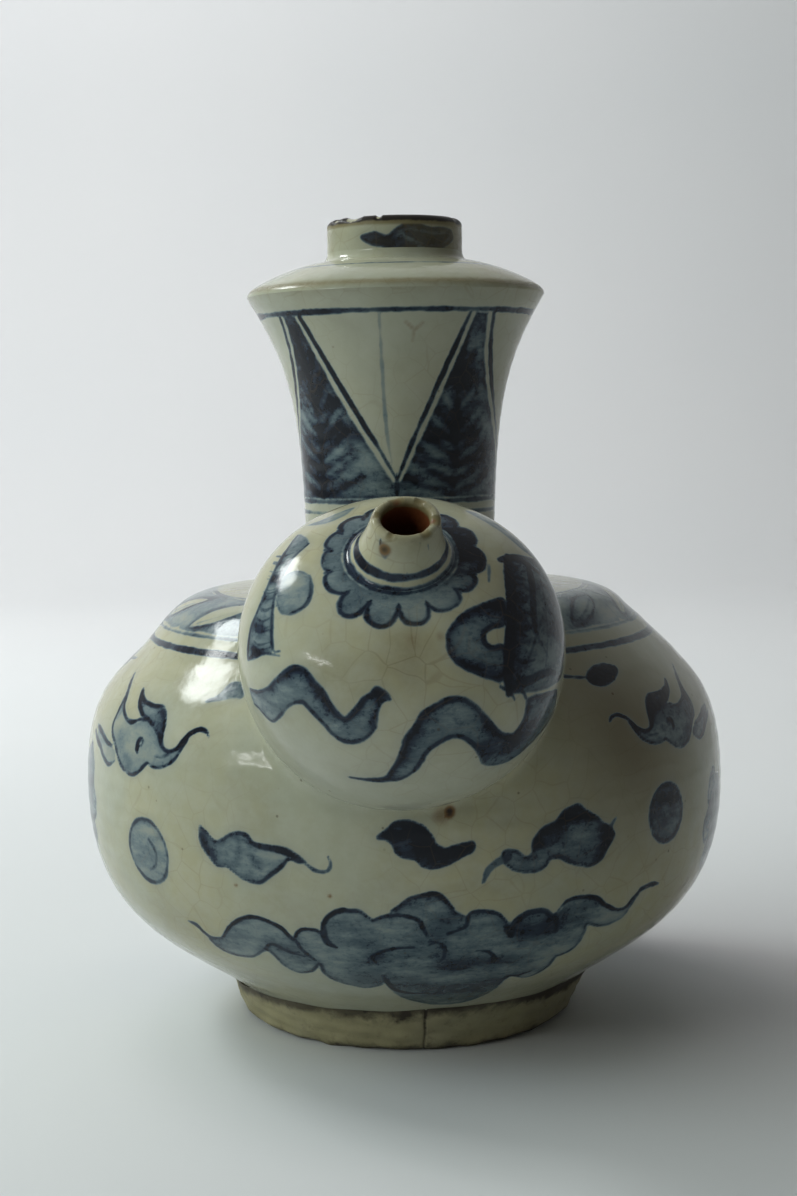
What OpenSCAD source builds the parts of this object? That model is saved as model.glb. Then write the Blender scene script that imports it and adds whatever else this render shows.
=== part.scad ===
// Kendi: a squat spouted flask, thrown in sections and luted together with clay slip.
// The foot stands on Z = 0, the pot's axis is Z and the spout leans towards -Y. Sizes are in mm.

/* [Foot] */
// Radius of the foot ring at its standing edge
foot_r = 42; // [38:0.5:46]
// How far the foot ring widens from its edge up to the body
foot_lean = 3; // [0:0.25:5]
// Height of the foot ring
foot_h = 10; // [7:0.5:14]
// Width of the standing edge
foot_edge = 6; // [4:0.5:9]
// Bevel on the corners of the standing edge
foot_bevel = 1; // [0.4:0.1:1.6]
// Width of the butt seam where the two ends of the foot strip meet
seam_w = 0.7; // [0.4:0.1:1.5]
// Depth of that seam
seam_d = 0.7; // [0.3:0.1:1.5]
// Angle of the seam to the right of the front
seam_turn = 5; // [-90:1:90]

/* [Body] */
// Radius of the belly
belly_r = 80.8; // [72:0.1:88]
// Height of the belly line above the foot ring
belly_rise = 50.3; // [45:0.1:56]
// Radius of the painted shoulder line
shoulder_r = 63.1; // [57:0.1:68]
// Height of the shoulder line above the belly line
shoulder_rise = 37.1; // [33:0.1:42]
// Slope of the wall at the shoulder line
shoulder_slope = 52; // [45:1:60]
// Height of the flat top above the shoulder line
top_rise = 11.4; // [9:0.1:14]
// Slope of the wall where it meets the foot ring
foot_slope = 38.7; // [33:0.1:45]
// Thickness of the body wall
body_wall = 5; // [4:0.25:6.5]

/* [Neck] */
// Radius of the neck at its root
neck_r = 23.8; // [21:0.1:27]
// Height of the neck from the body's top to the flange
neck_h = 72.4; // [62:0.1:82]
// Radius of the flange
flange_r = 37.4; // [34:0.1:41]
// Thickness of the neck wall
neck_wall = 4.5; // [3.5:0.25:6]

/* [Mouth] */
// Rise of the sloping cap from the flange to the collar
cap_rise = 8.3; // [6.5:0.1:10]
// Thickness of the cap
cap_wall = 4; // [3:0.25:5]
// Outer radius of the mouth collar
collar_r = 17; // [15.5:0.1:19]
// Height of the mouth collar
collar_h = 10.5; // [8:0.1:14]
// Radius of the mouth
mouth_r = 13; // [10.5:0.1:14]

/* [Spout] */
// Tilt of the spout's axis above the level
spout_tilt = 52.9; // [48:0.1:58]
// How far the bulb's centre lies inside the belly radius
spout_inset = 5.7; // [2:0.1:9]
// Height of the bulb's centre above the belly line
spout_rise = 41.4; // [38:0.1:45]
// Largest radius of the bulb
bulb_r = 35.4; // [32:0.1:38]
// Height of the bulb's crown above its centre
bulb_up = 26.5; // [23:0.1:30]
// Depth of the bulb's root below its centre
bulb_down = 31.5; // [29:0.1:35]
// Thickness of the bulb wall
bulb_wall = 4; // [3:0.25:5]
// Radius of the hole that joins the bulb to the body
port_r = 15; // [11:0.5:17]
// Radius of the nozzle at its foot
nozzle_r = 11.1; // [10:0.1:12.5]
// Radius of the nozzle at its lip
lip_r = 7.2; // [6.6:0.1:8]
// Length of the nozzle
nozzle_h = 11.1; // [8:0.1:14]
// Radius of the spout's bore
bore_r = 5; // [3.5:0.1:5.6]

/* [Luting] */
// Width of the clay fillet pressed round the neck's root
neck_fillet = 4; // [2.5:0.1:5]
// Width of the clay fillet pressed round the collar's root
collar_fillet = 2.5; // [1.5:0.1:3.5]
// Width of the clay fillet pressed round the bulb's root
spout_fillet = 3; // [2:0.1:4]
// Height of the clay band smeared over the belly joint inside the pot
belly_band = 12; // [8:0.5:16]
// Thickness of that band
belly_bead = 1.8; // [1:0.1:2.5]
// Clearance left under a faceted fillet
fillet_lift = 0.04; // [0.02:0.01:0.1]

/* [Hidden] */
$fn = 96;
// points along each curve, and along the bulb's hidden inner one
steps = 20;
inner_steps = 10;
// heights of the joints
foot_top_r = foot_r + foot_lean;
belly_z = foot_h + belly_rise;
shoulder_z = belly_z + shoulder_rise;
top_z = shoulder_z + top_rise;
flange_z = top_z + neck_h;
collar_z = flange_z + cap_rise;
mouth_z = collar_z + collar_h;
// width of the level seat that the cap shares with the neck's rim
rim_seat = neck_wall * 1.18;
// the neck stays straight above its fillet
neck_start = top_z + neck_fillet * 1.1;
// rounding of the mouth's rim and of the spout's lip
rim_round = (collar_r - mouth_r) / 2;
lip_round = (lip_r - bore_r) / 2;
// the spout's centre, its axis and two directions across it
spout_y = spout_inset - belly_r;
spout_z = belly_z + spout_rise;
axis_dir = [0, -cos(spout_tilt), sin(spout_tilt)];
side_dir = [1, 0, 0];
rise_dir = [0, sin(spout_tilt), cos(spout_tilt)];
lip_s = bulb_up + nozzle_h;

// A cubic curve's point, direction, whole run, and the run moved sideways by w
function at(p, t) =
    pow(1 - t, 3) * p[0] + 3 * t * pow(1 - t, 2) * p[1]
    + 3 * t * t * (1 - t) * p[2] + pow(t, 3) * p[3];
function along(p, t) =
    pow(1 - t, 2) * (p[1] - p[0]) + 2 * t * (1 - t) * (p[2] - p[1]) + t * t * (p[3] - p[2]);
function aside(p, t) = [-along(p, t)[1], along(p, t)[0]] / norm(along(p, t));
function run(p, n) = [for (i = [0 : n]) at(p, i / n)];
function moved(p, n, w) = [for (i = [0 : n]) at(p, i / n) + w * aside(p, i / n)];
function back(list) = [for (i = [len(list) - 1 : -1 : 0]) list[i]];

// The body's outline: belly to foot, belly to shoulder, shoulder to top
low_curve = [
    [belly_r, belly_z],
    [belly_r, belly_z - 0.647 * belly_rise],
    [foot_top_r + 0.431 * belly_rise * cos(foot_slope), foot_h + 0.431 * belly_rise * sin(foot_slope)],
    [foot_top_r, foot_h]
];
high_curve = [
    [belly_r, belly_z],
    [belly_r, belly_z + 0.71 * shoulder_rise],
    [shoulder_r + 0.327 * shoulder_rise * cos(shoulder_slope),
        shoulder_z - 0.327 * shoulder_rise * sin(shoulder_slope)],
    [shoulder_r, shoulder_z]
];
top_end = neck_r + neck_fillet;
top_curve = [
    [shoulder_r, shoulder_z],
    [shoulder_r - top_rise / tan(shoulder_slope), top_z],
    [top_end + 0.65 * (shoulder_r - top_end), top_z],
    [top_end, top_z]
];
low_run = run(low_curve, steps);
shoulder_run = concat(run(high_curve, steps), [for (i = [1 : steps - 8]) at(top_curve, i / (steps - 8))]);
// the same outline inside the wall, with a straight band at the belly for the luting band
band = belly_band / 2 + 1;
low_in = [for (q = moved(low_curve, steps, -body_wall)) if (q[1] < belly_z - band) q];
shoulder_in = [
    for (q = concat(moved(high_curve, steps, body_wall), moved(top_curve, steps - 8, body_wall)))
        if (q[1] > belly_z + band) q
];
belly_in_r = belly_r - body_wall;

// The neck's flare, outside and inside
neck_curve = [
    [neck_r, neck_start],
    [neck_r, neck_start + 0.577 * (flange_z - neck_start)],
    [flange_r - 0.774 * (flange_r - neck_r), flange_z - 0.249 * (flange_z - neck_start)],
    [flange_r, flange_z]
];
neck_in = [
    neck_curve[0] - [neck_wall, 0],
    neck_curve[1] - [neck_wall, 0],
    neck_curve[2] - [rim_seat, 0],
    neck_curve[3] - [rim_seat, 0]
];

// The cap's slope, outside and inside
cap_end = collar_r + collar_fillet;
cap_curve = [
    [flange_r, flange_z],
    [flange_r + 0.4, flange_z + 0.33 * cap_rise],
    [cap_end + 0.25 * (flange_r - cap_end), collar_z - 0.05 * cap_rise],
    [cap_end, collar_z]
];
cap_in = [
    [flange_r - rim_seat, flange_z],
    [flange_r - rim_seat - 3, collar_z - cap_wall - 0.3 * (cap_rise - cap_wall)],
    [mouth_r + 9, collar_z - cap_wall],
    [mouth_r, collar_z - cap_wall]
];

// The bulb's outline, from its widest line up to the nozzle and down to the root
bulb_high = [
    [bulb_r, 0],
    [bulb_r, 0.652 * bulb_up],
    [nozzle_r + 0.53 * (bulb_r - nozzle_r), 0.909 * bulb_up],
    [nozzle_r, bulb_up]
];
bulb_low = [
    [bulb_r, 0],
    [bulb_r, -0.635 * bulb_down],
    [0.65 * bulb_r, -bulb_down],
    [0, -bulb_down]
];
function inside_bulb(t) = at(bulb_high, t) + bulb_wall * aside(bulb_high, t);
nozzle_curve = [
    [nozzle_r, bulb_up],
    [nozzle_r - 0.516 * (nozzle_r - lip_r), bulb_up + 0.12 * nozzle_h],
    [lip_r + 0.097 * (nozzle_r - lip_r), lip_s - 0.367 * nozzle_h],
    [lip_r, lip_s - lip_round]
];

// Where the bulb's outside runs into the body's, at each angle round the spout's axis
body_table = [for (q = back(shoulder_run)) [q[1], q[0]]];
function body_rad(z) = lookup(z, body_table);
function across(a) = cos(a) * side_dir + sin(a) * rise_dir;
function bulb_point(a, t) =
    [0, spout_y, spout_z] + at(bulb_low, t)[1] * axis_dir + at(bulb_low, t)[0] * across(a);
function outside_by(p) = norm([p[0], p[1]]) - body_rad(p[2]);
function seam_t(a, lo, hi, n) =
    n == 0 ? (lo + hi) / 2
    : outside_by(bulb_point(a, (lo + hi) / 2)) > 0 ? seam_t(a, (lo + hi) / 2, hi, n - 1)
    : seam_t(a, lo, (lo + hi) / 2, n - 1);
// the body's outward normal at a point, and a step from it along the body's skin
function skin_fall(z) = body_rad(z - 0.4) - body_rad(z + 0.4);
function skin_normal(p) =
    let (d = [p[0], p[1]] / norm([p[0], p[1]]), n = [d[0] * 0.8, d[1] * 0.8, skin_fall(p[2])]) n / norm(n);
function along_skin(p, way) =
    let (n = skin_normal(p), flat = way - (way * n) * n) flat / norm(flat);
// one four-cornered section of the fillet: root, toe on the body, hollow face, toe on the bulb
function fillet_section(a) =
    let (
        t = seam_t(a, 0, 0.95, 24),
        seam = bulb_point(a, t),
        out = across(a),
        n = skin_normal(seam),
        root = seam + 2 * fillet_lift * (n + out),
        toe_body = seam + spout_fillet * along_skin(seam, out) + 3 * fillet_lift * n,
        toe_bulb = bulb_point(a, t - 0.02 * spout_fillet) + 2 * fillet_lift * out,
        hollow = root * 0.34 + (toe_body + toe_bulb) * 0.33
    )
    [root, toe_body, hollow, toe_bulb];

// Turned strip of clay bent into a ring and butted, the only face left without glaze
module foot_ring() {
    color("#8f856a")
        difference() {
            rotate_extrude()
                polygon([
                    [foot_top_r, foot_h],
                    [foot_r, foot_bevel * 1.6],
                    [foot_r - foot_bevel, 0],
                    [foot_r - foot_edge + foot_bevel, 0],
                    [foot_r - foot_edge, foot_bevel],
                    [foot_r - foot_edge - 1, foot_h]
                ]);
            rotate([0, 0, seam_turn - 90])
                translate([foot_r - seam_d, -seam_w / 2, 0])
                    rotate([0, atan(foot_lean / foot_h), 0])
                        translate([0, 0, -foot_h])
                            cube([foot_lean + 4, seam_w, foot_h * 2.5]);
        }
}

// Bowl thrown as the lower half, with the floor of the pot
module lower_body() {
    color("#c9cbc3")
        rotate_extrude()
            polygon(concat(
                low_run,
                [[0, foot_h], [0, low_in[len(low_in) - 1][1]]],
                back(low_in),
                [[belly_in_r, belly_z - band], [belly_in_r, belly_z]]
            ));
}

// Band of soft clay smeared over the belly joint inside the pot
module belly_lute() {
    color("#b9b4a2")
        rotate_extrude()
            polygon([
                [belly_in_r, belly_z - belly_band / 2],
                [belly_in_r, belly_z + belly_band / 2],
                [belly_in_r - belly_bead * 0.7, belly_z + belly_band / 4],
                [belly_in_r - belly_bead, belly_z],
                [belly_in_r - belly_bead * 0.7, belly_z - belly_band / 4]
            ]);
}

// Dome thrown as the upper half, pierced for the neck and for the spout
module upper_body() {
    color("#cdcfc7")
        difference() {
            rotate_extrude()
                polygon(concat(
                    shoulder_run,
                    [[neck_r - neck_wall, top_z], [neck_r - neck_wall, top_z - body_wall]],
                    back(shoulder_in),
                    [[belly_in_r, belly_z + band], [belly_in_r, belly_z]]
                ));
            spout_place()
                translate([0, 0, -bulb_down])
                    cylinder(r = port_r, h = bulb_down - 2);
        }
}

// Trumpet neck that stands on the flat top
module neck() {
    color("#cdd0ca")
        rotate_extrude()
            polygon(concat(
                [[neck_r - neck_wall, top_z], [neck_r, top_z]],
                run(neck_curve, steps),
                back(run(neck_in, steps))
            ));
}

// Fillet of clay round the neck's root
module neck_lute() {
    color("#c4c3b6")
        rotate_extrude()
            polygon([
                [neck_r, top_z],
                [neck_r + neck_fillet, top_z],
                [neck_r + neck_fillet * 0.45, top_z + neck_fillet * 0.12],
                [neck_r + neck_fillet * 0.12, top_z + neck_fillet * 0.45],
                [neck_r, top_z + neck_fillet]
            ]);
}

// Sloping cap that closes the neck's flare and makes the flange
module flange_cap() {
    color("#c9c8b8")
        rotate_extrude()
            polygon(concat(
                run(cap_curve, steps - 8),
                [[mouth_r, collar_z]],
                back(run(cap_in, steps - 8))
            ));
}

// Short collar round the mouth
module mouth_collar() {
    color("#9aa0a6")
        rotate_extrude()
            polygon(concat(
                [[mouth_r, collar_z], [collar_r, collar_z]],
                [for (i = [0 : 6]) [
                    mouth_r + rim_round + rim_round * cos(i * 30),
                    mouth_z - rim_round * 0.8 + rim_round * 0.8 * sin(i * 30)
                ]]
            ));
}

// Fillet of clay round the collar's root
module collar_lute() {
    color("#c4c3b6")
        rotate_extrude()
            polygon([
                [collar_r, collar_z],
                [collar_r + collar_fillet, collar_z],
                [collar_r + collar_fillet * 0.45, collar_z + collar_fillet * 0.14],
                [collar_r + collar_fillet * 0.12, collar_z + collar_fillet * 0.5],
                [collar_r, collar_z + collar_fillet]
            ]);
}

// Breast-shaped bulb, cut to a saddle that sits on the body's shoulder
module spout_bulb() {
    color("#cfd1c9")
        difference() {
            spout_place()
                rotate_extrude()
                    polygon(concat(
                        [[bore_r, bulb_up], [nozzle_r, bulb_up]],
                        [for (i = [1 : steps]) at(bulb_high, 1 - i / steps)],
                        [for (i = [1 : steps]) at(bulb_low, i / steps)],
                        back(moved(bulb_low, inner_steps, -bulb_wall)),
                        [for (i = [1 : inner_steps]) inside_bulb(i / inner_steps)],
                        [[bore_r, bulb_up - bulb_wall]]
                    ));
            rotate_extrude()
                polygon(concat(
                    [[0, low_run[5][1]]],
                    [for (i = [5 : -1 : 1]) low_run[i]],
                    shoulder_run,
                    [[0, top_z]]
                ));
        }
}

// Fillet of clay that follows the saddle all round the bulb's root
module spout_lute() {
    turns = 90;
    sections = [for (i = [0 : turns - 1]) fillet_section(i * 360 / turns)];
    points = [for (s = sections) each s];
    sides = [
        for (i = [0 : turns - 1], k = [0 : 3])
            let (j = (i + 1) % turns, m = (k + 1) % 4)
            each [[i * 4 + k, i * 4 + m, j * 4 + m], [i * 4 + k, j * 4 + m, j * 4 + k]]
    ];
    color("#c4c3b6")
        polyhedron(points = points, faces = sides);
}

// Short pouring nozzle on the bulb's crown
module spout_nozzle() {
    color("#a9adb0")
        spout_place()
            rotate_extrude()
                polygon(concat(
                    [[bore_r, bulb_up]],
                    run(nozzle_curve, 12),
                    [for (i = [1 : 6]) [
                        bore_r + lip_round + lip_round * cos(i * 30),
                        lip_s - lip_round + lip_round * sin(i * 30)
                    ]]
                ));
}

// Carries a shape turned about Z onto the spout's axis
module spout_place() {
    translate([0, spout_y, spout_z])
        rotate([90 - spout_tilt, 0, 0])
            children();
}

foot_ring();
lower_body();
belly_lute();
upper_body();
neck();
neck_lute();
flange_cap();
mouth_collar();
collar_lute();
spout_bulb();
spout_lute();
spout_nozzle();
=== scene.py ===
"""Looks of a blue-and-white kendi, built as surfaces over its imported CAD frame.

Lengths are millimetres unless a name says otherwise. Angles round the pot start at the front,
where the spout is, and grow to the right.
"""

import math

import bpy
import numpy as np
from mathutils import Matrix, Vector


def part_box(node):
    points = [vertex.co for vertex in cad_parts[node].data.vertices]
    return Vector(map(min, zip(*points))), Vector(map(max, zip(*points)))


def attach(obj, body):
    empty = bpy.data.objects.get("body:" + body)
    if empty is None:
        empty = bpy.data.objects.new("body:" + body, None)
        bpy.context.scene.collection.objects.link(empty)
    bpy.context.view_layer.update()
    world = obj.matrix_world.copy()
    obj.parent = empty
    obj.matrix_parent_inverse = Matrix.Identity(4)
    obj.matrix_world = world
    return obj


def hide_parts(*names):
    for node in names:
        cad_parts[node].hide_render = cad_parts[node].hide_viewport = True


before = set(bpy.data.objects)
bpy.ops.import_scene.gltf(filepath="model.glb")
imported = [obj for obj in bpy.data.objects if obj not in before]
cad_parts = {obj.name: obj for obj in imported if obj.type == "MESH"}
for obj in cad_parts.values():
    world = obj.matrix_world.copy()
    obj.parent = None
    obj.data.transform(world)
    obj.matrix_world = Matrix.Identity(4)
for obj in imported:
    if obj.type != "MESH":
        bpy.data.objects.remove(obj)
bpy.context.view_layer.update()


# Foot ring
# A strip of the body clay, bent round and butted together a little right of the front.
# It is pressed on under the bowl and left bare, so it has fired buff and taken up grime.
def corners(node):
    """Lowest and highest corner of a CAD node, in millimetres."""
    low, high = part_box(node)
    return np.array(low) * 1000, np.array(high) * 1000


def angles_round(count, crowd):
    """Angles for a full turn, closer together towards the front: pi t less crowd times sin(pi t)."""
    t = np.linspace(-1, 1, count, endpoint=False)
    return np.pi * t - crowd * np.sin(np.pi * t)


def thrown(a, z):
    """How far hand throwing puts the wall out of round: two slow waves, fine finger ridges and a slump.

    The slump is on the right, where the shoulder sank: in by a bell curve of height, and out below.
    """
    slow = 0.2 * np.sin(2 * a + z / 29) + 0.13 * np.sin(3 * a - z / 15)
    sunk = 0.7 * np.exp(-(((z - 93.5) / 3.4) ** 2)) - np.exp(-(((z - 102.8) / 3.2) ** 2))
    return slow + 0.03 * np.sin(1.45 * z + 0.7 * np.sin(a)) + sunk * (1 + np.sin(a)) / 2


def turn(profile, angles):
    """Points (r, z) swept round the pot's axis: x is r sin a and y is minus r cos a, r being uneven."""
    r = profile[:, :1]
    z = profile[:, 1:]
    r = r + thrown(angles, z) * np.clip(r / 20, 0, 1)
    return np.stack([r * np.sin(angles), -r * np.cos(angles), z + 0 * r], -1)


def lay(name, grid, layers=None, poles=False):
    """A mesh object over a grid of points with rows, columns and xyz.

    Columns close into a ring. Rows do as well, or with poles the first and last row are one point each.
    Each layer holds a value for every grid point and becomes an attribute of the mesh.
    """
    rows, columns = grid.shape[:2]
    index = np.arange(rows * columns).reshape(rows, columns)
    low, high = index, np.roll(index, -1, 0)
    if poles:
        index[0] = index[0, 0]
        index[-1] = index[-1, 0]
        low, high = index[:-1], index[1:]
    quads = np.stack([low, np.roll(low, -1, 1), np.roll(high, -1, 1), high], -1)
    fans = np.empty((0, 3), int)
    if poles:
        fans = np.concatenate([quads[0][:, [0, 2, 3]], quads[-1][:, [0, 1, 2]]])
        quads = quads[1:-1]
    used, packed = np.unique(np.concatenate([quads.ravel(), fans.ravel()]), return_inverse=True)
    faces = packed[: quads.size].reshape(-1, 4).tolist()
    faces += packed[quads.size :].reshape(-1, 3).tolist()
    mesh = bpy.data.meshes.new(name)
    mesh.from_pydata((grid.reshape(-1, 3)[used] / 1000).tolist(), [], faces)
    for layer, values in (layers or {}).items():
        kept = np.broadcast_to(values, (rows, columns)).ravel()[used]
        attribute = mesh.attributes.new(layer, "FLOAT", "POINT")
        attribute.data.foreach_set("value", kept.astype(np.float32))
    mesh.shade_smooth()
    mesh.set_sharp_from_angle(angle=math.radians(40))
    piece = bpy.data.objects.new(name, mesh)
    bpy.context.scene.collection.objects.link(piece)
    return piece


def colour(red, green, blue):
    """A colour as the eye sees it, 0 to 255, in the linear values that a shader takes."""
    seen = np.array([red, green, blue]) / 255
    linear = np.where(seen < 0.04045, seen / 12.92, ((seen + 0.055) / 1.055) ** 2.4)
    return (*linear.tolist(), 1.0)


class Shade:
    """A value in a material's node tree. Sums with it add Math nodes, and node adds any other kind."""

    def __init__(self, tree, socket):
        self.tree = tree
        self.socket = socket

    def join(self, value, socket):
        """Links a Shade to a socket, or sets the socket to a plain value."""
        if isinstance(value, Shade):
            self.tree.links.new(value.socket, socket)
        else:
            socket.default_value = value

    def node(self, kind, settings, inputs, output=0):
        """Adds a node, sets its settings and inputs, and gives one of its outputs."""
        made = self.tree.nodes.new(kind)
        for name, value in settings.items():
            setattr(made, name, value)
        for name, value in inputs.items():
            self.join(value, made.inputs[name])
        return Shade(self.tree, made.outputs[output])

    def math(self, operation, first, second):
        """A Math node that works on two values."""
        return self.node("ShaderNodeMath", {"operation": operation}, {0: first, 1: second})

    def __add__(self, other):
        return self.math("ADD", self, other)

    def __radd__(self, other):
        return self.math("ADD", other, self)

    def __sub__(self, other):
        return self.math("SUBTRACT", self, other)

    def __rsub__(self, other):
        return self.math("SUBTRACT", other, self)

    def __mul__(self, other):
        return self.math("MULTIPLY", self, other)

    def __rmul__(self, other):
        return self.math("MULTIPLY", other, self)

    def rise(self, low, high):
        """A smooth step from 0 at low to 1 at high. With low above high it falls instead."""
        ends = {"Value": self, "From Min": low, "From Max": high}
        return self.node("ShaderNodeMapRange", {"interpolation_type": "SMOOTHSTEP"}, ends)

    def mix(self, first, second):
        """The colour first where this value is 0 and second where it is 1."""
        return self.node("ShaderNodeMix", {"data_type": "RGBA"}, {0: self, 6: first, 7: second}, 2)

    def grain(self, scale, detail, roughness=0.55):
        """Cloudy noise over this position, with scale in cycles to the metre."""
        inputs = {"Vector": self, "Scale": scale, "Detail": detail, "Roughness": roughness}
        return self.node("ShaderNodeTexNoise", {}, inputs)

    def axis(self, name):
        """One coordinate of this position."""
        return self.node("ShaderNodeSeparateXYZ", {}, {"Vector": self}, name)

    def layer(self, name):
        """The mesh attribute of that name."""
        return self.node("ShaderNodeAttribute", {"attribute_name": name}, {}, 2)


def material_of(name):
    """A new material, its surface shader, and the position on the object as a Shade."""
    made = bpy.data.materials.new(name)
    made.use_nodes = True
    surface = made.node_tree.nodes["Principled BSDF"]
    coordinates = made.node_tree.nodes.new("ShaderNodeTexCoord")
    return made, surface, Shade(made.node_tree, coordinates.outputs["Object"])


foot_top = corners("foot_ring")[1]
foot_lean = 3.0
foot_width = 10.0
seam_turn = math.radians(5)
foot_angles = angles_round(760, 0.45)
foot_pressed = 1.0 + 1.6 * np.cos(foot_angles - 1.05)
foot_pressed = foot_pressed + 0.25 * np.sin(7 * foot_angles) + 0.15 * np.sin(17 * foot_angles)
foot_spread = 1.2 * np.maximum(foot_pressed, 0) + 0.2
foot_up = np.linspace(0, 1, 30)[:, None]
foot_z = foot_up * (foot_top[2] + foot_pressed)
foot_ragged = 1.6 + 0.5 * np.sin(11 * foot_angles) * np.sin(4 * foot_angles)
foot_ragged = foot_ragged + 0.4 * np.sin(29 * foot_angles)
foot_r = foot_top[0] - foot_lean * (1 - foot_up) + foot_spread * foot_up**2
foot_r = foot_r + 0.35 * np.sin(np.pi * foot_up)
foot_r = foot_r - foot_ragged * np.clip(1 - foot_z / 1.8, 0, 1) ** 2
from_seam = (foot_angles - seam_turn) * foot_top[0] + 0.1 * np.sin(foot_z * 0.9)
groove = -0.3 * np.exp(-((from_seam / 0.3) ** 2))
groove = groove + 0.25 * np.exp(-(((from_seam - 5) / 4) ** 2)) * (from_seam > 0)
dents = 0.12 * np.sin(9 * foot_angles + 2 * foot_z) + 0.1 * np.sin(23 * foot_angles - foot_z)
foot_r = foot_r + groove + dents + thrown(foot_angles, foot_z)
foot_wall = np.stack([foot_r * np.sin(foot_angles), -foot_r * np.cos(foot_angles), foot_z], -1)
foot_hole = foot_top[0] - foot_width
foot_inside = np.array([[foot_hole, foot_top[2]], [foot_hole + 1, 1], [foot_hole + 2, 0]])
foot_grid = np.concatenate([foot_wall, turn(foot_inside, foot_angles)])
unseen = ((0, len(foot_inside)), (0, 0))
foot_layers = {
    "seam": np.pad(np.abs(from_seam), unseen, constant_values=9),
    "height": np.pad(foot_up + 0 * foot_angles, unseen),
}
foot_piece = lay("foot_ring_ware", foot_grid, foot_layers)

bare_clay, surface, here = material_of("bare_clay")
mottle = here.grain(70, 5, 0.65)
clay = mottle.rise(0.3, 0.7).mix(colour(138, 132, 100), colour(162, 155, 120))
clay = (here.grain(24, 3).rise(0.45, 0.7) * 0.6).mix(clay, colour(166, 162, 136))
grime_and_shade = here.grain(320, 4, 0.7).rise(0.52, 0.75) * 0.3
height = here.layer("height") + (here.grain(150, 4, 0.7) - 0.5) * 0.6
# Grime, and painted shade under the bowl's overhang, darken the top of the foot; grime darkens its bottom
# edge.
grime_and_shade = grime_and_shade + height.rise(0.68, 0.95) * 0.85 + height.rise(0.2, 0.0) * 0.7
grime_and_shade = grime_and_shade + here.grain(36, 3, 0.6).rise(0.5, 0.68) * 0.32
grime_and_shade = grime_and_shade + here.layer("seam").rise(0.5, 0.1) * mottle.rise(0.3, 0.6) * 0.5
clay = grime_and_shade.math("MINIMUM", grime_and_shade, 1.0).mix(clay, colour(44, 36, 25))
here.join(clay, surface.inputs["Base Color"])
here.join(0.5 + mottle * 0.35, surface.inputs["Roughness"])
rough = {"Height": here.grain(420, 5, 0.7), "Strength": 0.35, "Distance": 0.0006}
here.join(here.node("ShaderNodeBump", {}, rough), surface.inputs["Normal"])
foot_piece.data.materials.append(bare_clay)
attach(foot_piece, "root")
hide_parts("foot_ring")


# Lower body
# The bowl, thrown right side up with its own floor, and trimmed to the foot ring when leather hard.
# It is painted in cobalt with a bank of cloud and small flying clouds, then dipped in clear glaze.
def cubic(points, count):
    """A cubic curve from the first point to the last, with the middle two as its handles.

    Each may also be a row of points, and the curve is then a grid.
    """
    first, second, third, last = np.asarray(points, float)
    t = np.linspace(0, 1, count).reshape(-1, *[1] * first.ndim)
    near = (1 - t) ** 3 * first + 3 * t * (1 - t) ** 2 * second
    return near + 3 * t**2 * (1 - t) * third + t**3 * last


def length_along(profile):
    """Length along a profile from its first point."""
    return np.append(0, np.cumsum(np.hypot(*np.diff(profile, axis=0).T)))


def even(profile, count):
    """The same profile with its points evenly spaced."""
    run = length_along(profile)
    at = np.linspace(0, run[-1], count)
    return np.stack([np.interp(at, run, profile[:, 0]), np.interp(at, run, profile[:, 1])], -1)


def inset(profile, wall):
    """The profile moved inwards, along its own normals, by the wall's thickness."""
    along = np.gradient(profile, axis=0)
    along = along / np.hypot(*along.T)[:, None]
    return profile + wall * np.stack([-along[:, 1], along[:, 0]], -1)


def brush_path(points, closed=False):
    """A smooth curve through a few points.

    It is a cubic from each point to the next, and passes each along the line of its neighbours.
    """
    given = np.asarray(points, float)
    before, after = 2 * given[:1] - given[1:2], 2 * given[-1:] - given[-2:-1]
    chain = np.concatenate([given[-1:], given, given[:2]] if closed else [before, given, after])
    a, b, c, d = chain[:-3, None], chain[1:-2, None], chain[2:-1, None], chain[3:, None]
    t = np.linspace(0, 1, 7, endpoint=False)[:, None]
    curve = b + (c - a) * t / 2 + (2 * a - 5 * b + 4 * c - d) * t**2 / 2
    curve = curve + (3 * b - a - 3 * c + d) * t**3 / 2
    return np.concatenate([curve.reshape(-1, 2), given[:1] if closed else given[-1:]])


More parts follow.
